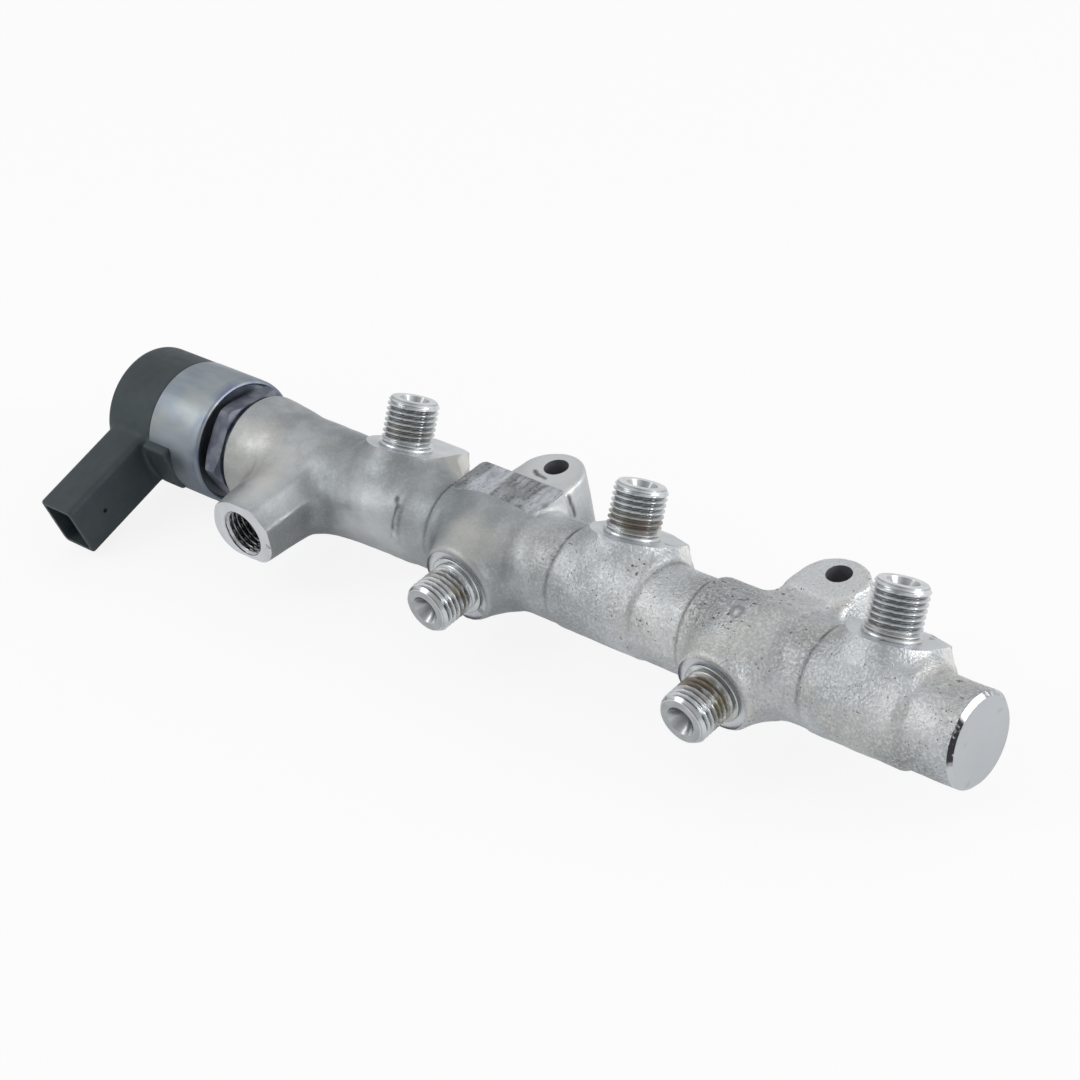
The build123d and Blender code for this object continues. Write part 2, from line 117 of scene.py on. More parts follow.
# Front fittings, in spot faces sunk in round bosses
FRONT_X = (-40.2, 45.0)
FRONT_SEAT = 17.8
FRONT_RIM = 18.8
FRONT_TIP = 30.4
FRONT_BOSS_RADIUS = 11.1
FRONT_BOSS_SHIFT = 0.8
FRONT_DRAFT = radians(16.0)
SPOT_FACE = 10.4

# Return port
PORT_X = -108.8
PORT_FACE = 31.3
PORT_BORE = 7.1                  # its thread is a piece of its own
PORT_PASSAGE = 3.2
PORT_DEPTH = 13.4
PORT_HALF = (11.2, 8.8)
PORT_LIFT = 0.9
PORT_DRAFT = radians(3.0)

# Ears
EAR_X = (-39.1, 53.9)
EAR_REACH = 22.6
EAR_HOLE = 3.4
EAR_RADIUS = 9.9
EAR_MIDDLE = 19.4
EAR_TAPER = radians(5.74)
EAR_TOP = 12.0
EAR_BOTTOM = -8.0
EAR_FALL_FROM = 14.5
EAR_TRIMS = (                    # planes that trim the second ear: a place on each and its direction
    ((60.12, 13.57, 10.9), (0.448, -0.426, 0.786)),
    ((62.15, 14.53, 10.26), (0.961, -0.195, 0.196)),
)

# Valve
NUT_HEX_X = -139.6
NUT_HEX_LENGTH = 5.4
NUT_HALF_FLATS = 15.0
NUT_TURN = radians(22.5)
CAN_START_X = -161.2
CAN_END_X = -140.9
CAN_RADIUS = 18.3
CAN_INSIDE = 16.7
CAN_HOLE = 8.9
CAN_FLOOR = 1.8
CAP_END_X = -179.7
CAP_RADIUS = 18.2
TONGUE_END_X = -152.3
CONNECTOR_X = -170.6
CONNECTOR_REACH = 47.0
CONNECTOR_HALF = (6.8, 8.8)
CONNECTOR_LIFT = 0.6
SOCKET_HALF = (5.1, 7.1)
SOCKET_DEPTH = 18.0

# Thread
THREAD_RADIUS = 7.0
THREAD_PITCH = 1.5
THREAD_DEPTH = 0.9
THREAD_SEGMENTS = 96
THREAD_SMOOTHING = 28.0
PORT_THREAD_DEPTH = 0.75
PORT_THREAD_LENGTH = 12.8

# Room: metres, light levels between 0 and 1, and watts
FLOOR_BELOW = 21.0               # gallery axis to the floor, in millimetres
FLOOR_HALF = 3.0
FLOOR_GREY = 0.7
FLOOR_WHITE = 0.95
GLOW_SEEN = 0.86                 # share of the floor's white that is glow, to the camera
GLOW_REFLECTED = 0.15            # and in reflections
ROOM_LEVEL = 0.4
ROOM_LOBES = (                   # direction, cosines where each starts and peaks, and its amount
    ((0.75, 0.5, 0.1), 0.3, 1.0, 0.7),
    ((-0.6, 0.55, 0.6), 0.4, 1.0, 0.25),
    ((-0.55, -0.3, 0.75), 0.4, 1.0, 0.2),
    ((-0.58, -0.8, 0.17), 0.85, 1.0, 0.4),
)
LAMP_TARGET = (0, -0.02, 0)


# Meshes

def packed(points):
    """Rail-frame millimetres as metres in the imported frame."""
    return (np.asarray(points) + SHIFT) / 1000.0


def unpacked(flat):
    """Rail-frame millimetres from a flat array of packed coordinates."""
    return flat.reshape(-1, 3) * 1000.0 - SHIFT


def new_object(name, data):
    """An object in the scene."""
    obj = bpy.data.objects.new(name, data)
    bpy.context.scene.collection.objects.link(obj)
    return obj


def finish_object(name, points, faces, material, angle=35.0):
    """A mesh object from rail-frame millimetres."""
    mesh = bpy.data.meshes.new(name)
    mesh.from_pydata(packed(points).tolist(), [], faces)
    mesh.update()
    mesh.materials.append(material)
    obj = new_object(name, mesh)
    smooth(obj, angle)
    return obj


def smooth(obj, angle):
    """Smooth shading, but for edges that are sharper than an angle."""
    mesh = obj.data
    mesh.polygons.foreach_set("use_smooth", [True] * len(mesh.polygons))
    mesh.set_sharp_from_angle(angle=radians(angle))


def axes_for(direction):
    """Columns: along the rail, sideways and the direction, or Y, Z and X for the rail's own."""
    first = np.array((0.0, 1.0, 0.0)) if direction[0] == 1.0 else ALONG
    first = first - np.dot(first, direction) * np.asarray(direction)
    first = first / np.linalg.norm(first)
    return np.stack((first, np.cross(direction, first), direction), axis=1)


def turns(segments):
    """Even angles round a circle."""
    return np.arange(segments) * 2 * pi / segments


def circles(stations, origin, direction, segments):
    """Points of rings about a direction, one ring for each (radius, height) station."""
    turn = turns(segments)
    rows = [
        np.stack((radius * np.cos(turn), radius * np.sin(turn), np.full(segments, height)), axis=1)
        for radius, height in stations
    ]
    return np.concatenate(rows) @ axes_for(direction).T + np.asarray(origin)


def ring_faces(rows, segments):
    """Faces between rings that follow each other."""
    faces = []
    for i in range(rows - 1):
        for j in range(segments):
            a, b = i * segments + j, i * segments + (j + 1) % segments
            faces.append((a, b, b + segments, a + segments))
    return faces


def capped_faces(rows, segments):
    """Faces of rings with a flat face over the first and the last."""
    last = (rows - 1) * segments
    caps = [tuple(range(segments))[::-1], tuple(range(last, last + segments))]
    return ring_faces(rows, segments) + caps


def looped_faces(rows, segments):
    """Faces of rings of which the last joins the first."""
    last = (rows - 1) * segments
    nexts = [(j + 1) % segments for j in range(segments)]
    return ring_faces(rows, segments) + [(last + j, last + n, n, j) for j, n in enumerate(nexts)]


def turned(stations, origin, direction, segments=96):
    """Points and faces of a solid turned about a direction through (radius, height) stations."""
    return circles(stations, origin, direction, segments), capped_faces(len(stations), segments)


def prism(origin, direction, outline, heights):
    """Points and faces of a prism, with its outline in the local axes of a direction."""
    local = np.array([(u, v, height) for height in heights for u, v in outline])
    return local @ axes_for(direction).T + np.asarray(origin), capped_faces(2, len(outline))


def rounded_prism(origin, direction, half, corner, heights, steps):
    """A prism with rounded corners."""
    outline = []
    for k, (sx, sy) in enumerate(((1, 1), (-1, 1), (-1, -1), (1, -1))):
        middle_x, middle_y = sx * (half[0] - corner), sy * (half[1] - corner)
        for a in np.linspace(0, pi / 2, steps) + k * pi / 2:
            outline.append((middle_x + corner * cos(a), middle_y + corner * sin(a)))
    return prism(origin, direction, outline, heights)


def box_cutter(origin, direction, low, high):
    """A box between two corners in the local axes of a direction."""
    (x0, y0, z0), (x1, y1, z1) = low, high
    return prism(origin, direction, ((x0, y0), (x1, y0), (x1, y1), (x0, y1)), (z0, z1))


def outward(points, faces):
    """The faces of a closed shape, all turned outwards."""
    points = np.asarray(points)
    volume = 0.0
    for face in faces:
        corners = points[list(face)]
        for i in range(1, len(face) - 1):
            volume += np.dot(corners[0], np.cross(corners[i], corners[i + 1]))
    return faces if volume > 0 else [tuple(face)[::-1] for face in faces]


def cut(obj, cutters, surface_material, operation="DIFFERENCE"):
    """Takes closed shapes out of a closed mesh; the faces that this makes get the given material."""
    for points, faces in cutters:
        faces = outward(points, faces)
        mesh = bpy.data.meshes.new("cutter")
        mesh.from_pydata(packed(points).tolist(), [], faces)
        mesh.materials.append(surface_material)
        cutter = new_object("cutter", mesh)
        modifier = obj.modifiers.new("cut", "BOOLEAN")
        modifier.operation = operation
        modifier.solver = "MANIFOLD"
        modifier.material_mode = "TRANSFER"
        modifier.object = cutter
        graph = bpy.context.evaluated_depsgraph_get()
        result = bpy.data.meshes.new_from_object(obj.evaluated_get(graph))
        obj.modifiers.clear()
        old = obj.data
        result.name = old.name
        obj.data = result
        bpy.data.meshes.remove(old)
        bpy.data.objects.remove(cutter)
        bpy.data.meshes.remove(mesh)


# Distance fields, for the forging and the moulding

def grid(low, high, voxel):
    """X, Y and Z at the nodes of a grid."""
    axes = [np.arange(a, b + voxel, voxel, dtype=np.float32) for a, b in zip(low, high)]
    return np.meshgrid(*axes, indexing="ij")


def union(a, b, blend):
    """Union of two fields with a fillet about `blend` wide."""
    h = np.maximum(blend - np.abs(a - b), 0) / blend
    return np.minimum(a, b) - h * h * blend / 4


def common(a, b, blend):
    """What two fields share, with an edge rounded about `blend` wide."""
    return -union(-a, -b, blend)


def rounded_box(x, y, half_x, half_y, corner):
    """Distance to a rectangle with round corners."""
    qx, qy = np.abs(x) - (half_x - corner), np.abs(y) - (half_y - corner)
    return np.hypot(np.maximum(qx, 0), np.maximum(qy, 0)) + np.minimum(np.maximum(qx, qy), 0) - corner


def lumps(x, y, z, size, seed):
    """Smooth unevenness between -1 and 1."""
    rng = np.random.default_rng(seed)
    total = 0
    for _ in range(6):
        k = rng.normal(size=3)
        k *= 2 * pi / size / np.linalg.norm(k)
        total = total + np.sin(k[0] * x + k[1] * y + k[2] * z + rng.uniform(0, 2 * pi))
    return total / 3


def surface(name, field, low, voxel, material):
    """A closed mesh where the field is zero."""
    vdb = openvdb.FloatGrid()
    vdb.copyFromArray(field.astype(np.float32))
    points, quads = vdb.convertToQuads(isovalue=0.0)
    points = points * voxel + np.asarray(low)
    return finish_object(name, points, quads.tolist(), material)


def tube_field(x, y, z):
    """The tube, with its stations' corners eased."""
    fine = np.arange(TUBE[0][0], TUBE[-1][0], 0.25)
    radius = np.interp(fine, *zip(*TUBE))
    radius = np.convolve(np.pad(radius, 3, mode="edge"), np.ones(7) / 7, mode="valid")
    return np.hypot(y, z) - np.interp(x, fine, radius)


def stretch_field(x, y, z, span, slopes, radius, shift):
    """A thick stretch of the tube with sloping shoulders."""
    fall = np.maximum(slopes[0] * (span[0] + 0.4 - x), slopes[1] * (x - span[1] + 0.4))
    return (np.hypot(y - shift[0], z - shift[1]) - radius + np.maximum(fall, 0)) / 1.2


def upright_field(x, y, z, at, flank, back):
    """Pad of an upright fitting: round in front, with cut corners behind."""
    along = np.abs(x - at)
    height = y * UPRIGHT[1] + z * UPRIGHT[2]
    behind = y * UPRIGHT[2] - z * UPRIGHT[1]
    lean = atan2(flank[1], flank[0]) - acos(PAD_RADIUS / hypot(*flank))
    side = along * cos(lean) + behind * sin(lean) - PAD_RADIUS
    cut_length = hypot(flank[0] - back[0], back[1] - flank[1])
    corner = (along - flank[0]) * (back[1] - flank[1]) + (behind - flank[1]) * (flank[0] - back[0])
    corner /= cut_length
    flat = common(common(side, corner, 0.3), behind - back[1], 0.3)
    in_front = behind * cos(lean) < along * sin(lean)
    outline = np.where(in_front, np.hypot(along, behind) - PAD_RADIUS, flat)
    wall = (outline - (UPRIGHT_PAD - height) * tan(PAD_DRAFT)) * cos(PAD_DRAFT)
    return common(common(wall, height - UPRIGHT_PAD - 1.5, 0.3), -height, 3.0)


def front_field(x, y, z, at):
    """Round boss of a front fitting."""
    height = -y
    radius = FRONT_BOSS_RADIUS + (FRONT_RIM - height) * tan(FRONT_DRAFT)
    away = np.hypot(x - at - FRONT_BOSS_SHIFT, z - FRONT_BOSS_SHIFT)
    outline = (away - radius) * cos(FRONT_DRAFT)
    return common(common(outline, height - FRONT_RIM, 0.8), -height, 3.0)


def port_field(x, y, z):
    """Boss of the return port: round below, square above, with one sharp and one soft shoulder."""
    height = -y
    spread = (PORT_FACE - height) * tan(PORT_DRAFT)
    half_x, half_z = PORT_HALF[0] + spread, PORT_HALF[1] + spread
    across, up = x - PORT_X, z - PORT_LIFT
    lower = rounded_box(across, up, half_x, half_z, 7.6)
    upper = rounded_box(across, up, half_x, half_z, 0.6)
    outline = np.where(up < 0, lower, upper)
    corner = (np.abs(across) + up - (half_x + half_z - 5.0)) / sqrt(2)
    outline = np.where(across > 0, common(outline, corner, 0.5), common(outline, corner, 5.0))
    return common(common(outline, height - PORT_FACE - 1.5, 0.3), -height, 3.0)


def plane_field(x, y, z, place, direction):
    """Distance past a plane."""
    dx, dy, dz = np.asarray(direction) / np.linalg.norm(direction)
    return (x - place[0]) * dx + (y - place[1]) * dy + (z - place[2]) * dz


def ear_field(x, y, z, at, trims):
    """A round ear on tapered sides, whose top falls towards the tube."""
    across, reach = np.abs(x - at), y - EAR_MIDDLE
    sides = across * cos(EAR_TAPER) + reach * sin(EAR_TAPER) - EAR_RADIUS
    outline = np.where(reach > across * tan(EAR_TAPER), np.hypot(across, reach) - EAR_RADIUS, sides)
    top = common(z - EAR_TOP, (z - EAR_TOP + 0.4 * (EAR_FALL_FROM - y)) / 1.08, 0.2)
    body = common(outline, common(top, EAR_BOTTOM - z, 0.5), 1.4)
    for place, direction in trims:
        body = common(body, plane_field(x, y, z, place, direction), 0.15)
    return common(body, -y, 1.0)


def platform_field(x, y, z):
    """The platform, before its top is cut flat."""
    (x0, x1), (y0, y1), top = PLATFORM
    across, deep = x - (x0 + x1) / 2, y - (y0 + y1) / 2
    outline = rounded_box(across, deep, (x1 - x0) / 2, (y1 - y0) / 2, PLATFORM_CORNER)
    return common(common(outline, z - top - 1.0, 0.3), -z, 1.0)


def die_line_field(x, y, z):
    """Short raised line that the die left in front of the first upright fitting."""
    radius = np.hypot(y, z)
    facing = z * cos(radians(62.0)) - y * sin(radians(62.0))
    line = common(np.abs(x - DIE_LINE_X) - 0.55, radius - 13.75, 0.4)
    return common(line, radius * cos(radians(20.0)) - facing, 0.5)


def forging_field(x, y, z):
    """The whole forging, with fillets where its forms meet."""
    field = tube_field(x, y, z)
    for span, slopes in zip(UPRIGHT_STRETCHES, UPRIGHT_SHOULDERS):
        stretch = stretch_field(x, y, z, span, slopes, UPRIGHT_STRETCH_RADIUS, UPRIGHT_STRETCH_SHIFT)
        field = union(field, stretch, 0.5)
    for span, radius, slopes in FRONT_STRETCHES:
        field = union(field, stretch_field(x, y, z, span, slopes, radius, FRONT_STRETCH_SHIFT), 0.3)
    for at, trims in zip(EAR_X, ((), EAR_TRIMS)):
        field = union(field, ear_field(x, y, z, at, trims), 3.0)
    field = union(field, platform_field(x, y, z), 0.8)
    field = union(field, port_field(x, y, z), 5.0)
    for at, flank, back in zip(UPRIGHT_X, PAD_FLANKS, PAD_BACKS):
        field = union(field, upright_field(x, y, z, at, flank, back), 4.5)
    for at in FRONT_X:
        field = union(field, front_field(x, y, z, at), 4.5)
    field = union(field, die_line_field(x, y, z), 0.5)
    field = common(field, BOSS_FACE_X - END_ALLOWANCE - x, 0.2)
    return common(field, x - CLOSED_END_X - END_ALLOWANCE, 0.2)


def curvature(field, voxel, reach):
    """Sum of the curvatures of a field's level surfaces, positive at outer edges."""
    total = -6.0 * field
    for axis in range(3):
        for step in (-reach, reach):
            total += np.roll(field, step, axis=axis)
    return total / (voxel * reach) ** 2


def sampled(values, points, low, voxel):
    """Values of a grid at points between its nodes."""
    place = (points - np.asarray(low)) / voxel
    place = np.clip(place, 0, np.array(values.shape) - 1.001)
    corner = place.astype(int)
    part = place - corner
    total = 0.0
    for i in (0, 1):
        for j in (0, 1):
            for k in (0, 1):
                step = np.array((i, j, k))
                weight = np.abs(1 - step - part).prod(axis=1)
                total = total + weight * values[tuple((corner + step).T)]
    return total


def points_of(obj):
    """Vertices in rail-frame millimetres."""
    points = np.empty(len(obj.data.vertices) * 3)
    obj.data.vertices.foreach_get("co", points)
    return unpacked(points)


def paint(obj, name, values):
    """Keeps a value at each vertex, for the materials to read."""
    layer = obj.data.attributes.new(name, "FLOAT", "POINT")
    layer.data.foreach_set("value", np.asarray(values, dtype=np.float32))


def shade_round(obj, test, material):
    """Gives the faces whose middles pass a test a material of their own."""
    count = len(obj.data.polygons)
    middles = np.empty(count * 3)
    obj.data.polygons.foreach_get("center", middles)
    middles = unpacked(middles)
    slots = np.empty(count, dtype=np.int32)
    obj.data.polygons.foreach_get("material_index", slots)
    obj.data.materials.append(material)
    slots[test(middles)] = len(obj.data.materials) - 1
    obj.data.polygons.foreach_set("material_index", slots)


def dark_wall(middles):
    """The walls round the sunk spot faces and in the ears' holes."""
    x, y, z = middles.T
    found = np.zeros(len(middles), dtype=bool)
    for at in FRONT_X:
        found |= (np.abs(np.hypot(x - at, z) - SPOT_FACE) < 0.05) & (-y > FRONT_SEAT - 0.1)
    for at in EAR_X:
        found |= np.hypot(x - at, y - EAR_REACH) < EAR_HOLE + 0.02
    return found


def closed_end_chamfer(middles):
    """The slanting edge round the closed end."""
    radius, x = np.hypot(middles[:, 1], middles[:, 2]), middles[:, 0]
    rim_x = CLOSED_END_X - CLOSED_CHAMFER
    slope = (CLOSED_RIM_RADIUS - CLOSED_END_RADIUS) / CLOSED_CHAMFER
    slant = radius - CLOSED_RIM_RADIUS + slope * (x - rim_x)
    return (np.abs(slant) < 0.12) & (x > rim_x - 0.1) & (x < CLOSED_END_X - 0.01)


def forging_cutters():
    """What is machined off the forging: seats, spot faces, the port, the holes and both ends."""
    cutters = []
    for at in UPRIGHT_X:
        low, high = (-16, -16, UPRIGHT_PAD), (16, 24, UPRIGHT_PAD + 4)
        cutters.append(box_cutter(at * ALONG, UPRIGHT, low, high))
    for at in FRONT_X:
        spot_face = ((SPOT_FACE, FRONT_SEAT), (SPOT_FACE, FRONT_SEAT + 4))
        cutters.append(turned(spot_face, at * ALONG, FRONT))
    low, high = (-15, -15, PORT_FACE), (15, 15, PORT_FACE + 4)
    cutters.append(box_cutter(PORT_X * ALONG, FRONT, low, high))
    port = (
        (PORT_PASSAGE, 13.0),
        (PORT_PASSAGE, PORT_FACE - PORT_DEPTH - 0.1),
        (PORT_BORE, PORT_FACE - PORT_DEPTH),
        (PORT_BORE, PORT_FACE + 4),
    )
    cutters.append(turned(port, PORT_X * ALONG, FRONT))
    for at in EAR_X:
        cutters.append(turned(((EAR_HOLE, -12.0), (EAR_HOLE, 16.0)), (at, EAR_REACH, 0), UP))
    closed_end = (
        (CLOSED_END_RADIUS, CLOSED_END_X),
        (CLOSED_RIM_RADIUS, CLOSED_END_X - CLOSED_CHAMFER),
        (30.0, CLOSED_END_X - 5.1),
        (30.0, CLOSED_END_X + 5.0),
    )
    boss_face = (
        (BOSS_FACE_RADIUS, BOSS_FACE_X),
        (BOSS_FACE_RADIUS + BOSS_CHAMFER, BOSS_FACE_X + BOSS_CHAMFER),
        (30.0, BOSS_FACE_X + 5.0),
        (30.0, BOSS_FACE_X - 7.0),
    )
    for end in (closed_end, boss_face):
        cutters.append(turned(end, (0, 0, 0), ALONG, 128))
    return cutters


def platform_cutter():
    """Cuts the platform's top flat, as far back as the ear."""
    (x0, x1), (y0, y1), top = PLATFORM
    front, rear = y0 - 0.4, y1 + 3.0
    middle = ((x0 + x1) / 2, (front + rear) / 2, 0)
    half = ((x1 - x0) / 2, (rear - front) / 2)
    return rounded_prism(middle, UP, half, PLATFORM_CORNER, (top, top + 4.0), 6)


def make_forging(material, machined, platform, groove, chamfer_wear_and_highlight):
    """The rail's forging, cut to its machined faces, with painted shade in its creases, lighter edges
    that are part wear and part painted highlight, and its marks.
    """
    low, high, voxel = (-134.9, -33.8, -19.0), (112.2, 31.5, 25.5), 0.66
    x, y, z = grid(low, high, voxel)
    plain = forging_field(x, y, z)
    field = plain + 0.05 * lumps(x, y, z, 9.0, 1) + 0.03 * lumps(x, y, z, 4.0, 2)
    forging = surface("rail_forging", field, low, voxel, material)
    cut(forging, forging_cutters(), machined)
    cut(forging, [platform_cutter()], platform)
    smooth(forging, 40.0)
    # The walls round the spot faces and in the ears' holes get painted shade
    shade_round(forging, dark_wall, groove)
    shade_round(forging, closed_end_chamfer, chamfer_wear_and_highlight)

    points = points_of(forging)
    fine = sampled(curvature(plain, voxel, 1), points, low, voxel)
    wide = sampled(curvature(plain, voxel, 3), points, low, voxel)
    # Painted shade: the forging is darkened where its surface is hollow, in creases and fillets, but
    # not on the cheek by the first ear; the die's dark marks are added to it
    crevice_shade_and_marks = np.clip(-0.9 * fine - 0.9 * wide - 0.1, 0, 1)
    crevice_shade_and_marks *= 1.0 - near(points, (-24.5, 9.0, 11.5), (5.0, 8.0, 5.0))
    paint(forging, "crevice_shade_and_marks", np.maximum(crevice_shade_and_marks, die_marks_and_shadow(points)))
    # Lighter outer edges, part wear and part painted highlight
    paint(forging, "edge", np.clip(0.7 * fine - 0.35, 0, 1))
    paint(forging, "trim", trimmed(points))
    return forging


def near(points, at, size):
    """1 at a place in the rail frame, falling to 0 outside a soft box around it."""
    away = np.abs(points - np.asarray(at)) / np.asarray(size)
    return np.clip(3.0 - 3.0 * away.max(axis=1), 0, 1)


def beside(points, start, end, radius):
    """1 on a line between two places in the rail frame, falling to 0 at a radius."""
    start, end = np.asarray(start, dtype=float), np.asarray(end, dtype=float)
    along = np.clip((points - start) @ (end - start) / np.dot(end - start, end - start), 0, 1)
    away = np.linalg.norm(points - start - along[:, None] * (end - start), axis=1)
    return np.clip(2.0 - 2.0 * away / radius, 0, 1)


def trimmed(points):
    """Where the forging's flash was trimmed off: brighter strips."""
    place, direction = EAR_TRIMS[0]
    on_bevel = np.abs(plane_field(*points.T, place, direction)) < 0.12
    strips = np.where(on_bevel & (near(points, place, (6.0, 9.0, 4.0)) > 0), 1.0, 0.0)
    strips = np.maximum(strips, beside(points, (-28.9, 16.2, 11.6), (-28.9, 17.5, 11.6), 1.6))
    for at, flank in zip(UPRIGHT_X, PAD_FLANKS):
        middle = (
            np.array((at + flank[0] + 0.8, 0, 0))
            + (flank[1] - 2.4) * np.array((0, UPRIGHT[2], -UPRIGHT[1]))
            + 13.6 * UPRIGHT
        )
        strips = np.maximum(strips, near(points, middle, (2.2, 3.0, 3.2)))
    return strips


def die_marks_and_shadow(points):
    """Small marks that the die left, painted dark, partly as their shade: two pits, a painted shadow
    beside its raised line, an arc by a hole, and a fold by the ear.
    """
    marks = (
        ((-68.9, -8.2, 11.0), (-68.7, -8.5, 10.8), 1.0),
        ((-67.6, -9.4, 9.8), (-67.6, -9.6, 9.6), 0.9),
        ((-67.7, -9.8, 9.4), (-67.6, -12.6, 4.8), 0.8),
        ((-43.1, 18.6, 12.0), (-41.4, 17.6, 12.0), 0.8),
        ((-41.4, 17.6, 12.0), (-38.2, 17.3, 12.0), 0.7),
        ((-28.7, 15.4, 10.8), (-28.8, 16.6, 4.0), 0.9),
    )
    dark = np.zeros(len(points))
    for start, end, radius in marks:
        dark = np.maximum(dark, beside(points, start, end, radius))
    return dark


def groove_share(height, turn):
    """0 on the crest of the helical thread to 1 in its groove."""
    phase = np.mod(height / THREAD_PITCH - turn / (2 * pi), 1.0)
    return np.clip((np.abs(phase - 0.5) - 0.07) / 0.31, 0, 1)


def thread_radius_at(height, turn, start, tip):
    """Helical thread with run-out at its foot and a chamfer at its tip."""
    ends = np.clip((height - start) / 0.9, 0, 1) * np.clip((tip - 0.5 - height) / 1.2, 0, 1)
    radius = THREAD_RADIUS - THREAD_DEPTH * groove_share(height, turn) * ends
    return np.minimum(radius, THREAD_RADIUS - 0.85 + 0.7 * (tip - height))


def make_fitting(name, at, direction, seat, tip, collar, end_shade, stain, material):
    """Threaded pipe fitting with its collar, sealing cone and drilling, as one closed mesh."""
    start, turn = seat + 1.4, turns(THREAD_SEGMENTS)
    foot = (
        (collar - 0.35, seat - 0.4),
        (collar - 0.35, seat + 0.05),
        (collar - 0.1, seat + 0.2),
        (collar, seat + 0.45),
        (collar - 0.1, seat + 0.75),
        (collar - 0.35, seat + 0.95),
        (6.55, seat + 1.15),
    )
    thread = [
        (thread_radius_at(height, turn, start, tip), height)
        for height in np.arange(start, tip + 0.001, THREAD_PITCH / 14)
    ]
    bore = (
        (6.0, tip),
        (4.05, tip),
        (4.0, tip - 0.1),
        (1.4, tip - 4.5),
        (1.4, tip - 12.0),
    )
    rows = (*foot, *thread, *bore)
    points = circles(rows, at * ALONG, direction, THREAD_SEGMENTS)
    faces = capped_faces(len(rows), THREAD_SEGMENTS)
    fitting = finish_object(name, points, faces, material, THREAD_SMOOTHING)

    heights = np.repeat([height for _, height in rows], THREAD_SEGMENTS)
    radii = np.concatenate([np.broadcast_to(radius, THREAD_SEGMENTS) for radius, _ in rows])
    # Painted shade, and in the thread's grooves also dirt: the grooves, the tip face, the sealing
    # cone and the drilling are darkened
    on_thread = (heights > start) & (heights < tip - 0.1) & (radii > 5.9)
    groove = np.where(on_thread, np.clip((THREAD_RADIUS - radii) / THREAD_DEPTH, 0, 1), 0)
    groove = np.where((heights > tip - 0.05) & (radii > 3.0), end_shade, groove)
    groove = np.where((radii < 4.02) & (radii > 3.0), 0.7, groove)
    paint(fitting, "groove", np.where(radii < 3.0, 1.0, groove))
    stain_height, stain_width, stain_strength = stain
    stained = np.exp(-((heights - seat - stain_height) / stain_width) ** 2) * stain_strength
    paint(fitting, "stain", np.where(radii > 5.9, stained, 0))
    return fitting


def make_port_thread(material):
    """Thread of the return port: a closed sleeve in the port's bore."""
    low, mouth, turn = PORT_FACE - PORT_THREAD_LENGTH, PORT_FACE, turns(THREAD_SEGMENTS)
    rows = [(PORT_BORE + 0.1, mouth), (PORT_BORE + 0.1, low)]
    for height in np.arange(low, mouth + 0.001, THREAD_PITCH / 12):
        radius = THREAD_RADIUS - PORT_THREAD_DEPTH * (1 - groove_share(height, turn))
        rows.append((np.maximum(radius, THREAD_RADIUS + 0.05 - (mouth - height)), height))
    points = circles(rows, PORT_X * ALONG, FRONT, THREAD_SEGMENTS)
    faces = outward(points, looped_faces(len(rows), THREAD_SEGMENTS))
    sleeve = finish_object("port_thread", points, faces, material, THREAD_SMOOTHING)
    depths = np.repeat([mouth - height for _, height in rows], THREAD_SEGMENTS)
    # Painted shade: the bore darkens deeper in
    paint(sleeve, "groove", np.clip(0.6 + depths / 8.0, 0, 1))
    paint(sleeve, "stain", np.zeros(len(points)))
    return sleeve


def make_can(material, inside):
    """Drawn can with a rounded end, a pierced floor and a window for the cap's tongue."""
    start, end, segments = CAN_START_X, CAN_END_X, 256
    loop = (
        (CAN_RADIUS - 0.4, start),
        (CAN_RADIUS, start + 0.35),
        (CAN_RADIUS, end - 3.2),
        (CAN_RADIUS - 0.06, end - 3.0),
        (CAN_RADIUS - 0.06, end - 1.2),
        (CAN_RADIUS - 0.2, end - 0.5),
        (CAN_RADIUS - 0.6, end - 0.08),
        (CAN_RADIUS - 1.0, end),
        (CAN_INSIDE + 0.2, end - 0.25),
        (CAN_INSIDE, end - 0.8),
        (CAN_INSIDE, end - CAN_FLOOR),
        (CAN_HOLE, end - CAN_FLOOR),
        (CAN_HOLE, end - 2 * CAN_FLOOR),
        (CAN_INSIDE, end - 2 * CAN_FLOOR),
        (CAN_INSIDE, start),
    )
    points = circles(loop, (0, 0, 0), ALONG, segments)
    can = finish_object("can_shell", points, looped_faces(len(loop), segments), material, 40.0)
    low, high = (start - 1, -6.05, 10.0), (TONGUE_END_X + 0.05, 9.05, 24.0)
    cut(can, [box_cutter((0, 0, 0), CONNECTOR, low, high)], inside)
    smooth(can, 40.0)
    return can


def make_nut(material):
    """The nut's hexagon with turned corners, and the collar between it and the rail."""
    start, end = NUT_HEX_X, NUT_HEX_X + NUT_HEX_LENGTH
    corner = NUT_HALF_FLATS / cos(pi / 6)
    rim = [(-corner * sin(turn), corner * cos(turn)) for turn in turns(6) + NUT_TURN]
    points, faces = prism((0, 0, 0), ALONG, rim, (start, end))
    nut = finish_object("nut_hexagon", points, outward(points, faces), material)
    outline = (
        (15.4, start),
        (corner - 0.2, start + 1.0),
        (corner + 0.1, start + 1.5),
        (corner + 0.1, end - 1.4),
        (corner - 0.3, end - 0.8),
        (15.3, end),
    )
    cut(nut, [turned(outline, (0, 0, 0), ALONG, 128)], material, "INTERSECT")
    smooth(nut, 20.0)
    shape = turned(((14.4, end - 0.2), (14.4, BOSS_FACE_X)), (0, 0, 0), ALONG, 128)
    collar = finish_object("nut_collar", *shape, material)
    return nut, collar


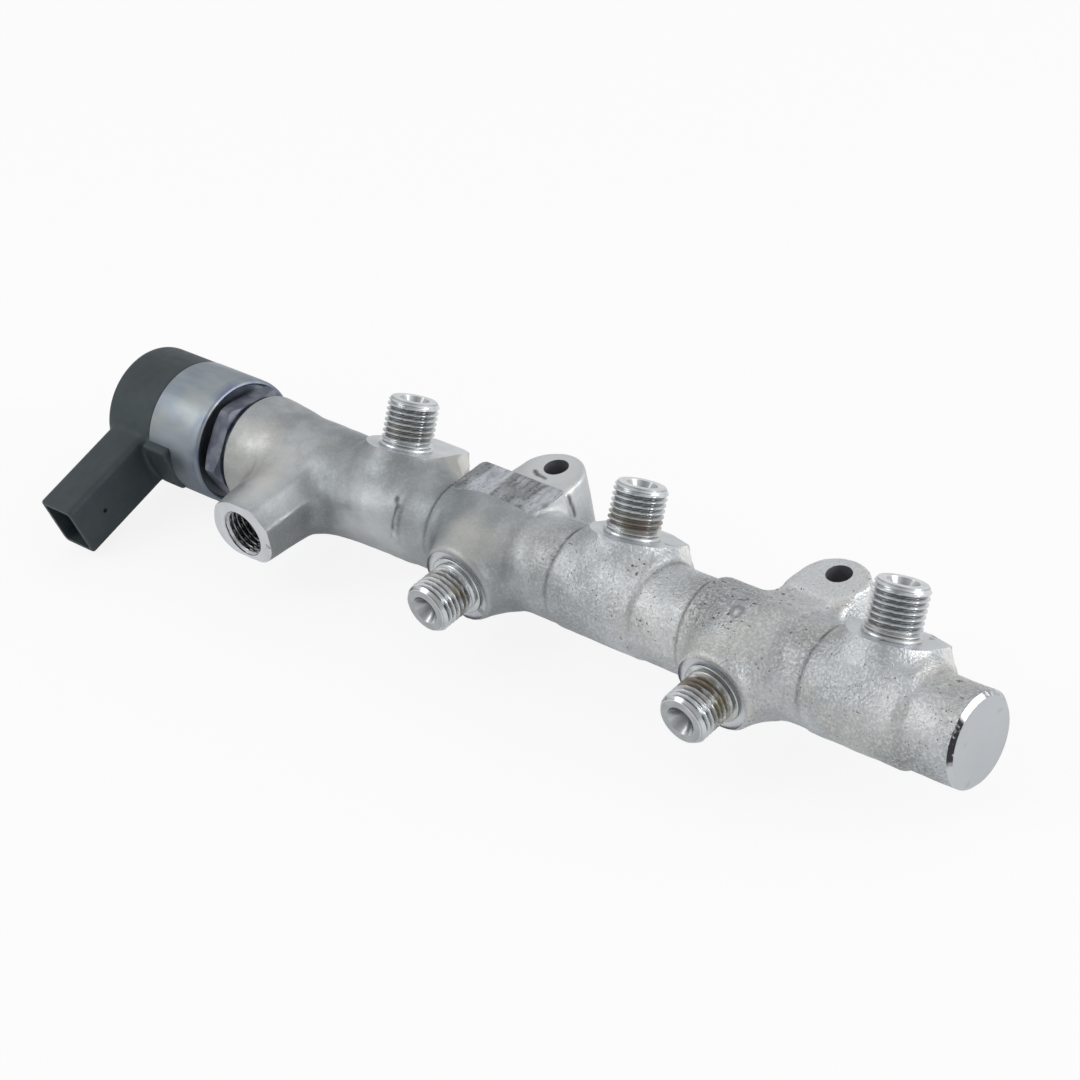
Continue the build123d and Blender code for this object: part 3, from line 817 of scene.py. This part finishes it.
def make_cap(material):
    """Moulded cap with its connector, the tongue in the can's window, the socket and a vent."""
    low, high, voxel = (-181.0, -50.0, -25.0), (-151.0, 20.5, 20.5), 0.42
    x, y, z = grid(low, high, voxel)
    drum = np.hypot(y, z) - CAP_RADIUS
    body = common(common(drum, CAP_END_X - x, 2.0), x - CAN_START_X, 0.2)
    reach = y * CONNECTOR[1] + z * CONNECTOR[2]
    across = y * CONNECTOR[2] - z * CONNECTOR[1]
    prism = rounded_box(x - CONNECTOR_X, across - CONNECTOR_LIFT, *CONNECTOR_HALF, 2.0)
    prism = common(common(prism, reach - CONNECTOR_REACH, 0.7), -reach, 0.2)
    tongue = np.maximum(CAN_START_X - 1.0 - x, x - TONGUE_END_X)
    tongue = common(tongue, np.abs(across - 1.5) - 7.5, 1.2)
    outside = common(reach - 18.6, CAN_INSIDE - np.hypot(y, z), 0.2)
    tongue = common(np.maximum(tongue, -reach), outside, 1.2)
    field = union(union(body, prism, 1.4), tongue, 0.8)
    cap = surface("moulded_cap", field, low, voxel, material)
    axes = axes_for(CONNECTOR)
    heights = (CONNECTOR_REACH - SOCKET_DEPTH, CONNECTOR_REACH + 2.0)
    middle = CONNECTOR_X * ALONG + axes @ (0.0, CONNECTOR_LIFT, 0.0)
    socket = rounded_prism(middle, CONNECTOR, SOCKET_HALF, 0.9, heights, 5)
    vent_at = CONNECTOR_X * ALONG + axes @ (0.0, 0.53, 37.5)
    vent = turned(((0.7, 4.0), (0.7, 9.0)), vent_at, ALONG, 24)
    cut(cap, [socket, vent], material)
    smooth(cap, 40.0)
    return cap


# Materials

class Graph:
    """A node tree that is built up from a few kinds of pattern."""

    def __init__(self, tree):
        """Works on a tree that is there already."""
        self.nodes, self.links = tree.nodes, tree.links

    def put(self, value, socket):
        """Links an output to a socket, or sets the socket's own value."""
        if hasattr(value, "is_linked"):
            self.links.new(value, socket)
        elif isinstance(value, tuple) and len(value) == 3 and socket.type == "RGBA":
            socket.default_value = (*value, 1.0)
        else:
            socket.default_value = value

    def add(self, kind, **inputs):
        """A node with some of its inputs given, with _ for the spaces in their names."""
        node = self.nodes.new("ShaderNode" + kind)
        for name, value in inputs.items():
            self.put(value, node.inputs[name.replace("_", " ")])
        return node

    def between(self, value, low, high, out_low=0.0, out_high=1.0):
        """A value ramped from out_low at low to out_high at high."""
        ends = dict(From_Min=low, From_Max=high, To_Min=out_low, To_Max=out_high)
        return self.add("MapRange", Value=value, **ends).outputs["Result"]

    def math(self, operation, a, b, kind="Math"):
        """A sum, product or the like of two values, or of two vectors."""
        node = self.add(kind)
        node.operation = operation
        self.put(a, node.inputs[0])
        self.put(b, node.inputs[1])
        return node.outputs["Value"]


class Paint(Graph):
    """A procedural material on the mesh's own coordinates."""

    def __init__(self, name):
        """Starts from a plain material with its one shader."""
        self.made = bpy.data.materials.new(name)
        self.made.use_nodes = True
        super().__init__(self.made.node_tree)
        self.shader = self.nodes["Principled BSDF"]
        self.place = self.add("TexCoord").outputs["Object"]

    def noise(self, scale, detail=2.0, stretch=(1.0, 1.0, 1.0)):
        """Soft noise about 0.5, with its scale in features per metre."""
        place = self.add("Mapping", Vector=self.place, Scale=stretch).outputs["Vector"]
        return self.add("TexNoise", Vector=place, Scale=scale, Detail=detail).outputs["Fac"]

    def mottle(self, scale, detail, low, high, out_low=0.0, out_high=1.0):
        """Noise ramped between two of its levels."""
        return self.between(self.noise(scale, detail), low, high, out_low, out_high)

    def times(self, a, b):
        """Product of two values."""
        return self.math("MULTIPLY", a, b)

    def mix(self, factor, a, b):
        """Colour a where factor is 0, and b where it is 1."""
        node = self.add("Mix")
        node.data_type = "RGBA"
        self.put(factor, node.inputs[0])
        colours = [socket for socket in node.inputs if socket.type == "RGBA"]
        self.put(a, colours[0])
        self.put(b, colours[1])
        return next(socket for socket in node.outputs if socket.type == "RGBA")

    def mix_shaders(self, factor, a, b):
        """Shader a where factor is 0, and b where it is 1."""
        node = self.add("MixShader", Fac=factor)
        self.put(a, node.inputs[1])
        self.put(b, node.inputs[2])
        return node.outputs["Shader"]

    def distance_to(self, place):
        """Distance in metres to a place in the rail's frame."""
        return self.math("DISTANCE", self.place, packed(place).tolist(), "VectorMath")

    def ring_at(self, place, radius, half_width):
        """1 on a ring about a place, falling to 0 beside it; all in metres but the place."""
        away = self.math("ABSOLUTE", self.math("SUBTRACT", self.distance_to(place), radius), 0.0)
        return self.between(away, half_width, 0.0)

    def along(self, axis, start, end, out_low=0.0, out_high=1.0):
        """A value ramped between two places along an axis of the rail's frame."""
        position = self.add("SeparateXYZ", Vector=self.place).outputs[axis]
        shift = SHIFT["XYZ".index(axis)]
        low, high = (start + shift) / 1000.0, (end + shift) / 1000.0
        return self.between(position, low, high, out_low, out_high)

    def steps_along_x(self, *stops):
        """Tones ramped between stations along the rail."""
        first, last = stops[0][0], stops[-1][0]
        node = self.add("ValToRGB", Fac=self.along("X", first, last))
        elements = node.color_ramp.elements
        elements[1].position = 0.999
        for station, tone in stops[1:-1]:
            elements.new((station - first) / (last - first))
        for element, (_, tone) in zip(elements, stops):
            element.color = (tone, tone, tone, 1.0)
        return node.outputs["Color"]

    def painted(self, name):
        """A value that was painted on the mesh."""
        node = self.add("Attribute")
        node.attribute_name = name
        return node.outputs["Fac"]

    def bump(self, height, distance, strength=1.0):
        """Relief on top of any that is there already, with its depth in metres."""
        node = self.add("Bump", Height=height, Distance=distance, Strength=strength)
        normal = self.shader.inputs["Normal"]
        if normal.is_linked:
            self.put(normal.links[0].from_socket, node.inputs["Normal"])
        self.put(node.outputs["Normal"], normal)

    def finish(self, colour, roughness, metallic):
        """Sets the shader's main inputs and hands over the material."""
        self.put(colour, self.shader.inputs["Base Color"])
        self.put(roughness, self.shader.inputs["Roughness"])
        self.put(metallic, self.shader.inputs["Metallic"])
        return self.made


def make_forged_steel():
    """Blasted forging: smooth and clouded by the valve, grained and specked at the closed end, with
    patches of painted shade and painted highlight, and painted glints.
    """
    m = Paint("forged_steel")
    towards_end = m.along("X", -35.0, 5.0)
    pale = m.mix(towards_end, (0.49, 0.515, 0.53), (0.62, 0.65, 0.68))
    dull = m.mix(towards_end, (0.31, 0.335, 0.35), (0.44, 0.465, 0.48))
    grey = m.mix(m.mottle(55.0, 4.0, 0.4, 0.6), dull, pale)
    grey = m.mix(m.mottle(150.0, 3.0, 0.5, 0.66, 0.0, 0.5), grey, dull)
    warm = m.mottle(33.0, 3.0, 0.5, 0.66, 0.0, 0.6)
    grey = m.mix(warm, grey, (0.6, 0.59, 0.545))
    dark, bright = (0.29, 0.305, 0.31), (0.76, 0.78, 0.79)
    # Painted shade and painted highlight: dark and bright patches that darken or lighten faces in
    # place of the light that falls on them
    for place, radius, strength, tone in (
        ((-70.0, -9.0, 10.0), 0.013, 0.5, dark),
        ((-18.0, -8.0, 11.0), 0.010, 0.6, dark),
        ((37.0, 3.0, 13.5), 0.017, 0.7, dark),
        ((63.7, -5.8, 12.2), 0.009, 0.6, dark),
        ((37.0, -7.0, 12.0), 0.008, 0.5, dark),
        ((-97.0, -24.0, -3.0), 0.014, 0.8, dark),
        ((99.0, -11.0, -7.0), 0.014, 0.8, dark),
        ((-39.1, 22.0, 12.0), 0.016, 0.8, bright),
        ((53.9, 18.0, 12.0), 0.019, 0.7, bright),
        ((-27.0, 11.0, 11.0), 0.009, 0.8, bright),
        ((-104.0, -22.0, 9.5), 0.011, 0.4, bright),
        ((-78.0, -13.5, 0.0), 0.015, 0.5, bright),
    ):
        painted_light_patch = m.between(m.distance_to(place), radius, radius * 0.4, 0.0, strength)
        grey = m.mix(painted_light_patch, grey, tone)
    grain = m.noise(1400.0, 3.0)
    # Painted glints: fine bright specks on the grain, more of them towards the closed end
    painted_glint = m.times(m.between(grain, 0.45, 0.68), m.between(towards_end, 0, 1, 0.1, 0.5))
    grey = m.mix(painted_glint, grey, (0.9, 0.91, 0.92))
    for name, share, tone in (
        ("trim", 0.7, (0.84, 0.83, 0.8)),
        # lighter edges, part wear and part painted highlight
        ("edge", 0.6, (0.85, 0.86, 0.86)),
        # painted shade in creases, with the die's dark marks
        ("crevice_shade_and_marks", 0.85, (0.09, 0.095, 0.1)),
    ):
        grey = m.mix(m.times(m.painted(name), share), grey, tone)
    rough_top = m.between(m.distance_to((40.0, 1.0, 14.0)), 0.016, 0.011)
    worn = m.math("MAXIMUM", m.mottle(65.0, 3.0, 0.56, 0.64), rough_top)
    flakes = m.between(m.noise(620.0, 2.0, (1.0, 1.5, 1.2)), 0.655, 0.675)
    dots = m.mottle(1500.0, 1.0, 0.72, 0.74)
    dirt = m.times(m.math("MAXIMUM", m.times(flakes, worn), dots), towards_end)
    grey = m.mix(m.times(dirt, 0.85), grey, (0.05, 0.05, 0.055))
    ring_middle = (44.8, -4.4, 13.3)
    ring, its_shade = m.ring_at(ring_middle, 0.0027, 0.0005), m.ring_at(ring_middle, 0.0033, 0.0004)
    grey = m.mix(m.times(ring, 0.4), grey, (0.72, 0.74, 0.74))
    grey = m.mix(m.times(its_shade, 0.5), grey, (0.12, 0.125, 0.13))
    m.bump(m.times(grain, m.between(towards_end, 0, 1, 0.15, 1.0)), 0.0003, 0.9)
    coarse = m.times(m.noise(420.0, 3.0), m.between(towards_end, 0, 1, 0.5, 1.0))
    m.bump(m.math("SUBTRACT", coarse, m.times(dirt, 0.5)), 0.0003, 0.7)
    m.bump(m.times(m.noise(350.0, 3.0), rough_top), 0.0005, 0.8)
    m.bump(ring, 0.0006, 1.0)
    return m.finish(grey, m.mottle(160.0, 3.0, 0.35, 0.65, 0.42, 0.56), 0.92)


def make_machined_steel():
    """Spot faces, end faces and bores: faint turning marks and dull dirt spots."""
    m = Paint("machined_steel")
    tone = m.mix(m.mottle(90.0, 4.0, 0.35, 0.65), (0.66, 0.69, 0.72), (0.8, 0.82, 0.85))
    scratches = m.between(m.noise(210.0, 3.0, (1.0, 0.7, 1.6)), 0.66, 0.7)
    tone = m.mix(m.times(scratches, 0.6), tone, (0.22, 0.22, 0.23))
    end_face = m.between(m.distance_to((CLOSED_END_X, 0.0, 0.0)), 0.014, 0.012, 0.0, 0.8)
    tone = m.mix(end_face, tone, (0.5, 0.52, 0.545))
    m.bump(m.noise(900.0, 2.0), 0.00004, 0.5)
    return m.finish(tone, m.mottle(150.0, 3.0, 0.3, 0.7, 0.4, 0.5), 0.9)


def make_chamfer_wear_and_highlight():
    """The closed end's chamfer: bright on top, as polish and painted highlight, and scratched dark to
    both sides of that.
    """
    m = Paint("chamfer_wear_and_highlight")
    on_top = m.along("Z", 0.5, 2.5)
    # Painted highlight with polish: the top of the chamfer is lightened by place
    bright = m.times(m.times(m.along("Y", -6.0, -4.5), m.along("Y", 4.0, 2.5)), on_top)
    scratches = m.mottle(420.0, 4.0, 0.4, 0.5)
    in_front = m.along("Y", 6.5, 3.0, 0.3, 1.0)
    dark = m.times(m.math("SUBTRACT", m.times(on_top, in_front), bright), scratches)
    tone = m.mix(bright, (0.6, 0.62, 0.65), (0.95, 0.96, 0.96))
    tone = m.mix(dark, tone, (0.05, 0.05, 0.055))
    m.bump(m.times(m.noise(420.0, 4.0), dark), 0.0004, 0.8)
    return m.finish(tone, 0.35, 0.9)


def make_wall_shade_steel():
    """Painted shade: darker steel for the shaded walls of the spot faces and of the ears' holes."""
    m = Paint("wall_shade_steel")
    tone = m.mix(m.noise(300.0, 3.0), (0.22, 0.22, 0.24), (0.4, 0.4, 0.43))
    return m.finish(tone, 0.5, 0.8)


def make_platform_steel():
    """The platform's stamped and worn top, left without any marking."""
    m = Paint("platform_steel")
    bands = m.steps_along_x(
        (-57.0, 0.25),
        (-53.8, 0.25),
        (-52.3, 0.7),
        (-46.2, 0.75),
        (-44.6, 0.25),
        (-34.2, 0.3),
        (-32.6, 0.75),
        (-27.5, 0.7),
    )
    mottle = m.math("ADD", bands, m.mottle(260.0, 5.0, 0.3, 0.7, -0.35, 0.35))
    tone = m.mix(m.between(mottle, 0.2, 0.8), (0.33, 0.345, 0.36), (0.62, 0.645, 0.69))
    lines = m.between(m.noise(520.0, 3.0, (1.6, 0.35, 1.0)), 0.52, 0.6)
    tone = m.mix(m.times(lines, m.between(bands, 0.3, 0.7, 0.5, 0.25)), tone, (0.14, 0.145, 0.15))
    worn = m.times(m.mottle(1100.0, 2.0, 0.6, 0.66), m.between(bands, 0.2, 0.8, 1.0, 0.4))
    tone = m.mix(m.times(worn, 0.7), tone, (0.07, 0.07, 0.075))
    m.bump(m.noise(700.0, 4.0), 0.0005, 0.8)
    m.bump(lines, 0.0003, 0.7)
    return m.finish(tone, 0.58, 0.8)


def make_threaded_steel():
    """Cut and plated threads, painted shade and dirt in the grooves, painted shade in the bores, and
    fuel stains.
    """
    m = Paint("threaded_steel")
    tone = m.mix(m.mottle(300.0, 2.0, 0.35, 0.65), (0.62, 0.65, 0.67), (0.74, 0.76, 0.77))
    tone = m.mix(m.between(m.painted("groove"), 0.55, 1.0, 0.0, 0.75), tone, (0.09, 0.095, 0.1))
    patchy = m.times(m.painted("stain"), m.mottle(230.0, 3.0, 0.32, 0.52))
    brown = m.mix(m.mottle(170.0, 2.0, 0.4, 0.6), (0.26, 0.23, 0.14), (0.13, 0.085, 0.065))
    tone = m.mix(m.between(patchy, 0.0, 1.0, 0.0, 0.85), tone, brown)
    rough = m.math("ADD", m.mottle(500.0, 1.0, 0.3, 0.7, 0.2, 0.26), m.times(patchy, 0.2))
    return m.finish(tone, rough, m.between(patchy, 0.0, 1.0, 1.0, 0.7))


def make_can_steel():
    """Bright zinc with blue and yellow tints and faint streaks, with painted shade low down."""
    m = Paint("can_steel")
    streaks = m.noise(150.0, 3.0, (0.3, 1.0, 1.0))
    tone = m.mix(m.between(streaks, 0.35, 0.65), (0.3, 0.345, 0.39), (0.44, 0.48, 0.51))
    tone = m.mix(m.mottle(70.0, 2.0, 0.54, 0.68, 0.0, 0.4), tone, (0.44, 0.44, 0.38))
    near_nut = m.along("X", -145.0, -141.5)
    blue = m.times(near_nut, m.mottle(110.0, 2.0, 0.42, 0.6, 0.0, 0.7))
    tone = m.mix(blue, tone, (0.16, 0.19, 0.32))
    # Painted shade: the can is darkened towards its bottom
    tone = m.mix(m.along("Z", 14.0, 3.0, 0.0, 0.55), tone, (0.17, 0.2, 0.24))
    return m.finish(tone, m.mottle(200.0, 2.0, 0.3, 0.7, 0.4, 0.48), 1.0)


def make_nut_steel():
    """Dark plating with paler worn flats."""
    m = Paint("nut_steel")
    tone = m.mix(m.mottle(240.0, 3.0, 0.4, 0.6), (0.13, 0.145, 0.19), (0.22, 0.235, 0.27))
    m.bump(m.noise(800.0, 2.0), 0.00005, 0.5)
    return m.finish(tone, m.mottle(300.0, 2.0, 0.3, 0.7, 0.36, 0.5), 0.9)


def make_cap_plastic():
    """Moulded grey-green plastic with a fine satin grain."""
    m = Paint("cap_plastic")
    tone = m.mix(m.mottle(70.0, 3.0, 0.35, 0.65), (0.03, 0.043, 0.05), (0.042, 0.06, 0.066))
    m.bump(m.noise(2200.0, 2.0), 0.00003, 0.5)
    return m.finish(tone, m.mottle(400.0, 2.0, 0.3, 0.7, 0.48, 0.6), 0.0)


def make_inner(name, dark, light, roughness, metallic):
    """Metal, rubber or plastic of a hidden piece, with a fine unevenness."""
    m = Paint(name)
    tone = m.mix(m.mottle(500.0, 3.0, 0.35, 0.65), dark, light)
    m.bump(m.noise(1500.0, 2.0), 0.00003, 0.4)
    rough = m.mottle(700.0, 2.0, 0.3, 0.7, roughness - 0.05, roughness + 0.08)
    return m.finish(tone, rough, metallic)


INNER = (                        # dark and light tones, roughness, metallic, and the nodes
    ("hard_steel", (0.5, 0.51, 0.52), (0.62, 0.63, 0.64), 0.28, 1.0,
     ("valve_body", "seat_insert", "valve_ball", "armature_pin")),
    ("magnet_iron", (0.36, 0.37, 0.38), (0.46, 0.47, 0.48), 0.42, 1.0, ("armature", "back_iron")),
    ("spring_steel", (0.28, 0.29, 0.31), (0.38, 0.39, 0.41), 0.34, 1.0,
     ("armature_spring", "spring_shim")),
    ("soft_iron", (0.42, 0.42, 0.41), (0.52, 0.52, 0.5), 0.45, 1.0, ("nose_washer",)),
    ("sleeve_steel", (0.52, 0.53, 0.55), (0.62, 0.63, 0.65), 0.3, 1.0, ("armature_sleeve",)),
    ("brass_disc", (0.62, 0.48, 0.22), (0.72, 0.58, 0.3), 0.35, 1.0, ("gap_disc",)),
    ("copper_wire", (0.5, 0.22, 0.1), (0.64, 0.31, 0.16), 0.4, 1.0, ("coil_winding",)),
    ("terminal_brass", (0.55, 0.53, 0.46), (0.66, 0.64, 0.57), 0.35, 1.0,
     ("terminal_left", "terminal_right")),
    ("seal_rubber", (0.015, 0.015, 0.015), (0.03, 0.03, 0.03), 0.6, 0.0,
     ("body_o_ring", "can_seal_ring")),
    ("seal_plastic", (0.7, 0.67, 0.6), (0.8, 0.78, 0.72), 0.5, 0.0, ("backup_ring",)),
    ("bobbin_plastic", (0.45, 0.4, 0.3), (0.55, 0.5, 0.4), 0.5, 0.0, ("coil_bobbin",)),
)


# Pieces

def dress(piece, node):
    """Puts a piece in the place of a node, on the rail's body."""
    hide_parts(node)
    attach(piece, "rail")


def make_spring():
    """The armature's spring as one welded mesh; the real spring shortens towards its shim as the
    armature lifts.
    """
    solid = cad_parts["armature_spring"]
    welded = bmesh.new()
    welded.from_mesh(solid.data)
    bmesh.ops.remove_doubles(welded, verts=welded.verts, dist=1e-6)
    mesh = bpy.data.meshes.new("spring_coil")
    welded.to_mesh(mesh)
    welded.free()
    mesh.transform(solid.matrix_world)
    mesh.materials.append(solid.data.materials[0])
    spring = new_object("spring_coil", mesh)
    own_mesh(spring)
    return spring


for name, dark, light, roughness, metallic, nodes in INNER:
    look = make_inner(name, dark, light, roughness, metallic)
    for node in nodes:
        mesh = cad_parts[node].data
        mesh.materials.clear()
        mesh.materials.append(look)

machined, threaded = make_machined_steel(), make_threaded_steel()
forging = make_forging(
    make_forged_steel(), machined, make_platform_steel(), make_wall_shade_steel(), make_chamfer_wear_and_highlight()
)
dress(forging, "rail_body")
dress(make_port_thread(threaded), "rail_body")
# Kinds of fitting: direction, seat, tip, radius of the collar and painted shade on the end
uprights = (UPRIGHT, UPRIGHT_PAD, UPRIGHT_TIP, 7.45, 0.3)
fronts = (FRONT, FRONT_SEAT, FRONT_TIP, 8.3, 0.78)
for name, at, kind, stain in (    # a stain has its height over the seat, its width and its strength
    ("upright_1", UPRIGHT_X[0], uprights, (5.0, 3.0, 0.25)),
    ("upright_2", UPRIGHT_X[1], uprights, (3.6, 2.4, 0.95)),
    ("upright_3", UPRIGHT_X[2], uprights, (2.0, 2.0, 0.3)),
    ("front_1", FRONT_X[0], fronts, (5.2, 1.8, 0.9)),
    ("front_2", FRONT_X[1], fronts, (4.6, 2.8, 1.3)),
):
    dress(make_fitting(name, at, *kind, stain, threaded), "rail_body")
for piece in make_nut(make_nut_steel()):
    dress(piece, "union_nut")
dress(make_can(make_can_steel(), machined), "solenoid_can")
dress(make_cap(make_cap_plastic()), "connector_cap")
dress(make_spring(), "armature_spring")


# Floor, light and camera

def make_floor_white():
    """Grey to the scene's light; nearly white, with its shadow, to camera and reflections."""
    m = Paint("floor_white")
    m.finish((FLOOR_GREY,) * 3, 0.95, 0.0)
    seen = m.add("BsdfDiffuse", Color=(FLOOR_WHITE,) * 3)
    glow = m.add("Emission", Color=(1.0, 1.0, 1.0), Strength=1.0)
    ray = m.add("LightPath").outputs
    share = m.between(ray["Is Camera Ray"], 0.0, 1.0, GLOW_REFLECTED, GLOW_SEEN)
    white = m.mix_shaders(share, seen.outputs["BSDF"], glow.outputs["Emission"])
    reflected = m.math("MAXIMUM", ray["Is Glossy Ray"], ray["Is Transmission Ray"])
    shown = m.math("MAXIMUM", ray["Is Camera Ray"], reflected)
    final = m.mix_shaders(shown, m.shader.outputs["BSDF"], white)
    m.put(final, m.nodes["Material Output"].inputs["Surface"])
    return m.made


def make_floor():
    """A square sheet a little below the rail."""
    mesh = bpy.data.meshes.new("floor")
    height, half = (SHIFT[2] - FLOOR_BELOW) / 1000, FLOOR_HALF
    corners = ((-half, -half), (half, -half), (half, half), (-half, half))
    mesh.from_pydata([(x, y, height) for x, y in corners], [], [(0, 1, 2, 3)])
    mesh.materials.append(make_floor_white())
    new_object("floor", mesh)


def make_studio():
    """A soft room, brighter behind on the right and overhead on the left than in front."""
    world = bpy.data.worlds.new("studio")
    bpy.context.scene.world = world
    world.use_nodes = True
    room = Graph(world.node_tree)
    direction = room.add("TexCoord").outputs["Generated"]
    strength = ROOM_LEVEL
    for way, low, high, amount in ROOM_LOBES:
        facing = room.math("DOT_PRODUCT", direction, Vector(way).normalized(), "VectorMath")
        strength = room.math("ADD", strength, room.between(facing, low, high, 0.0, amount))
    background = room.nodes["Background"]
    room.put((1.0, 1.0, 1.0), background.inputs["Color"])
    room.put(strength, background.inputs["Strength"])


def area_light(name, at, size, power):
    """A lamp that faces the rail."""
    light = bpy.data.lights.new(name, "AREA")
    light.shape = "RECTANGLE"
    light.size, light.size_y = size
    light.energy = power
    lamp = new_object(name, light)
    lamp.location = at
    facing = Vector(LAMP_TARGET) - Vector(at)
    lamp.rotation_euler = facing.to_track_quat("-Z", "Y").to_euler()


def make_camera():
    """The photograph's camera."""
    lens = bpy.data.cameras.new("camera")
    lens.lens = LENS
    lens.sensor_width = 36.0
    lens.clip_end = 10
    camera = new_object("camera", lens)
    right, down = Vector(CAMERA_RIGHT).normalized(), Vector(CAMERA_DOWN).normalized()
    turn = Matrix((right, -down, right.cross(-down))).transposed().to_4x4()
    camera.matrix_world = Matrix.Translation(packed(CAMERA_AT)) @ turn
    bpy.context.scene.camera = camera


make_floor()
make_studio()
area_light("key", (-0.5, -0.55, 0.75), (0.5, 0.5), 1.6)
area_light("side", (0.75, 0.35, 0.25), (0.5, 0.4), 2.4)
make_camera()

bpy.context.scene.view_settings.view_transform = "Standard"
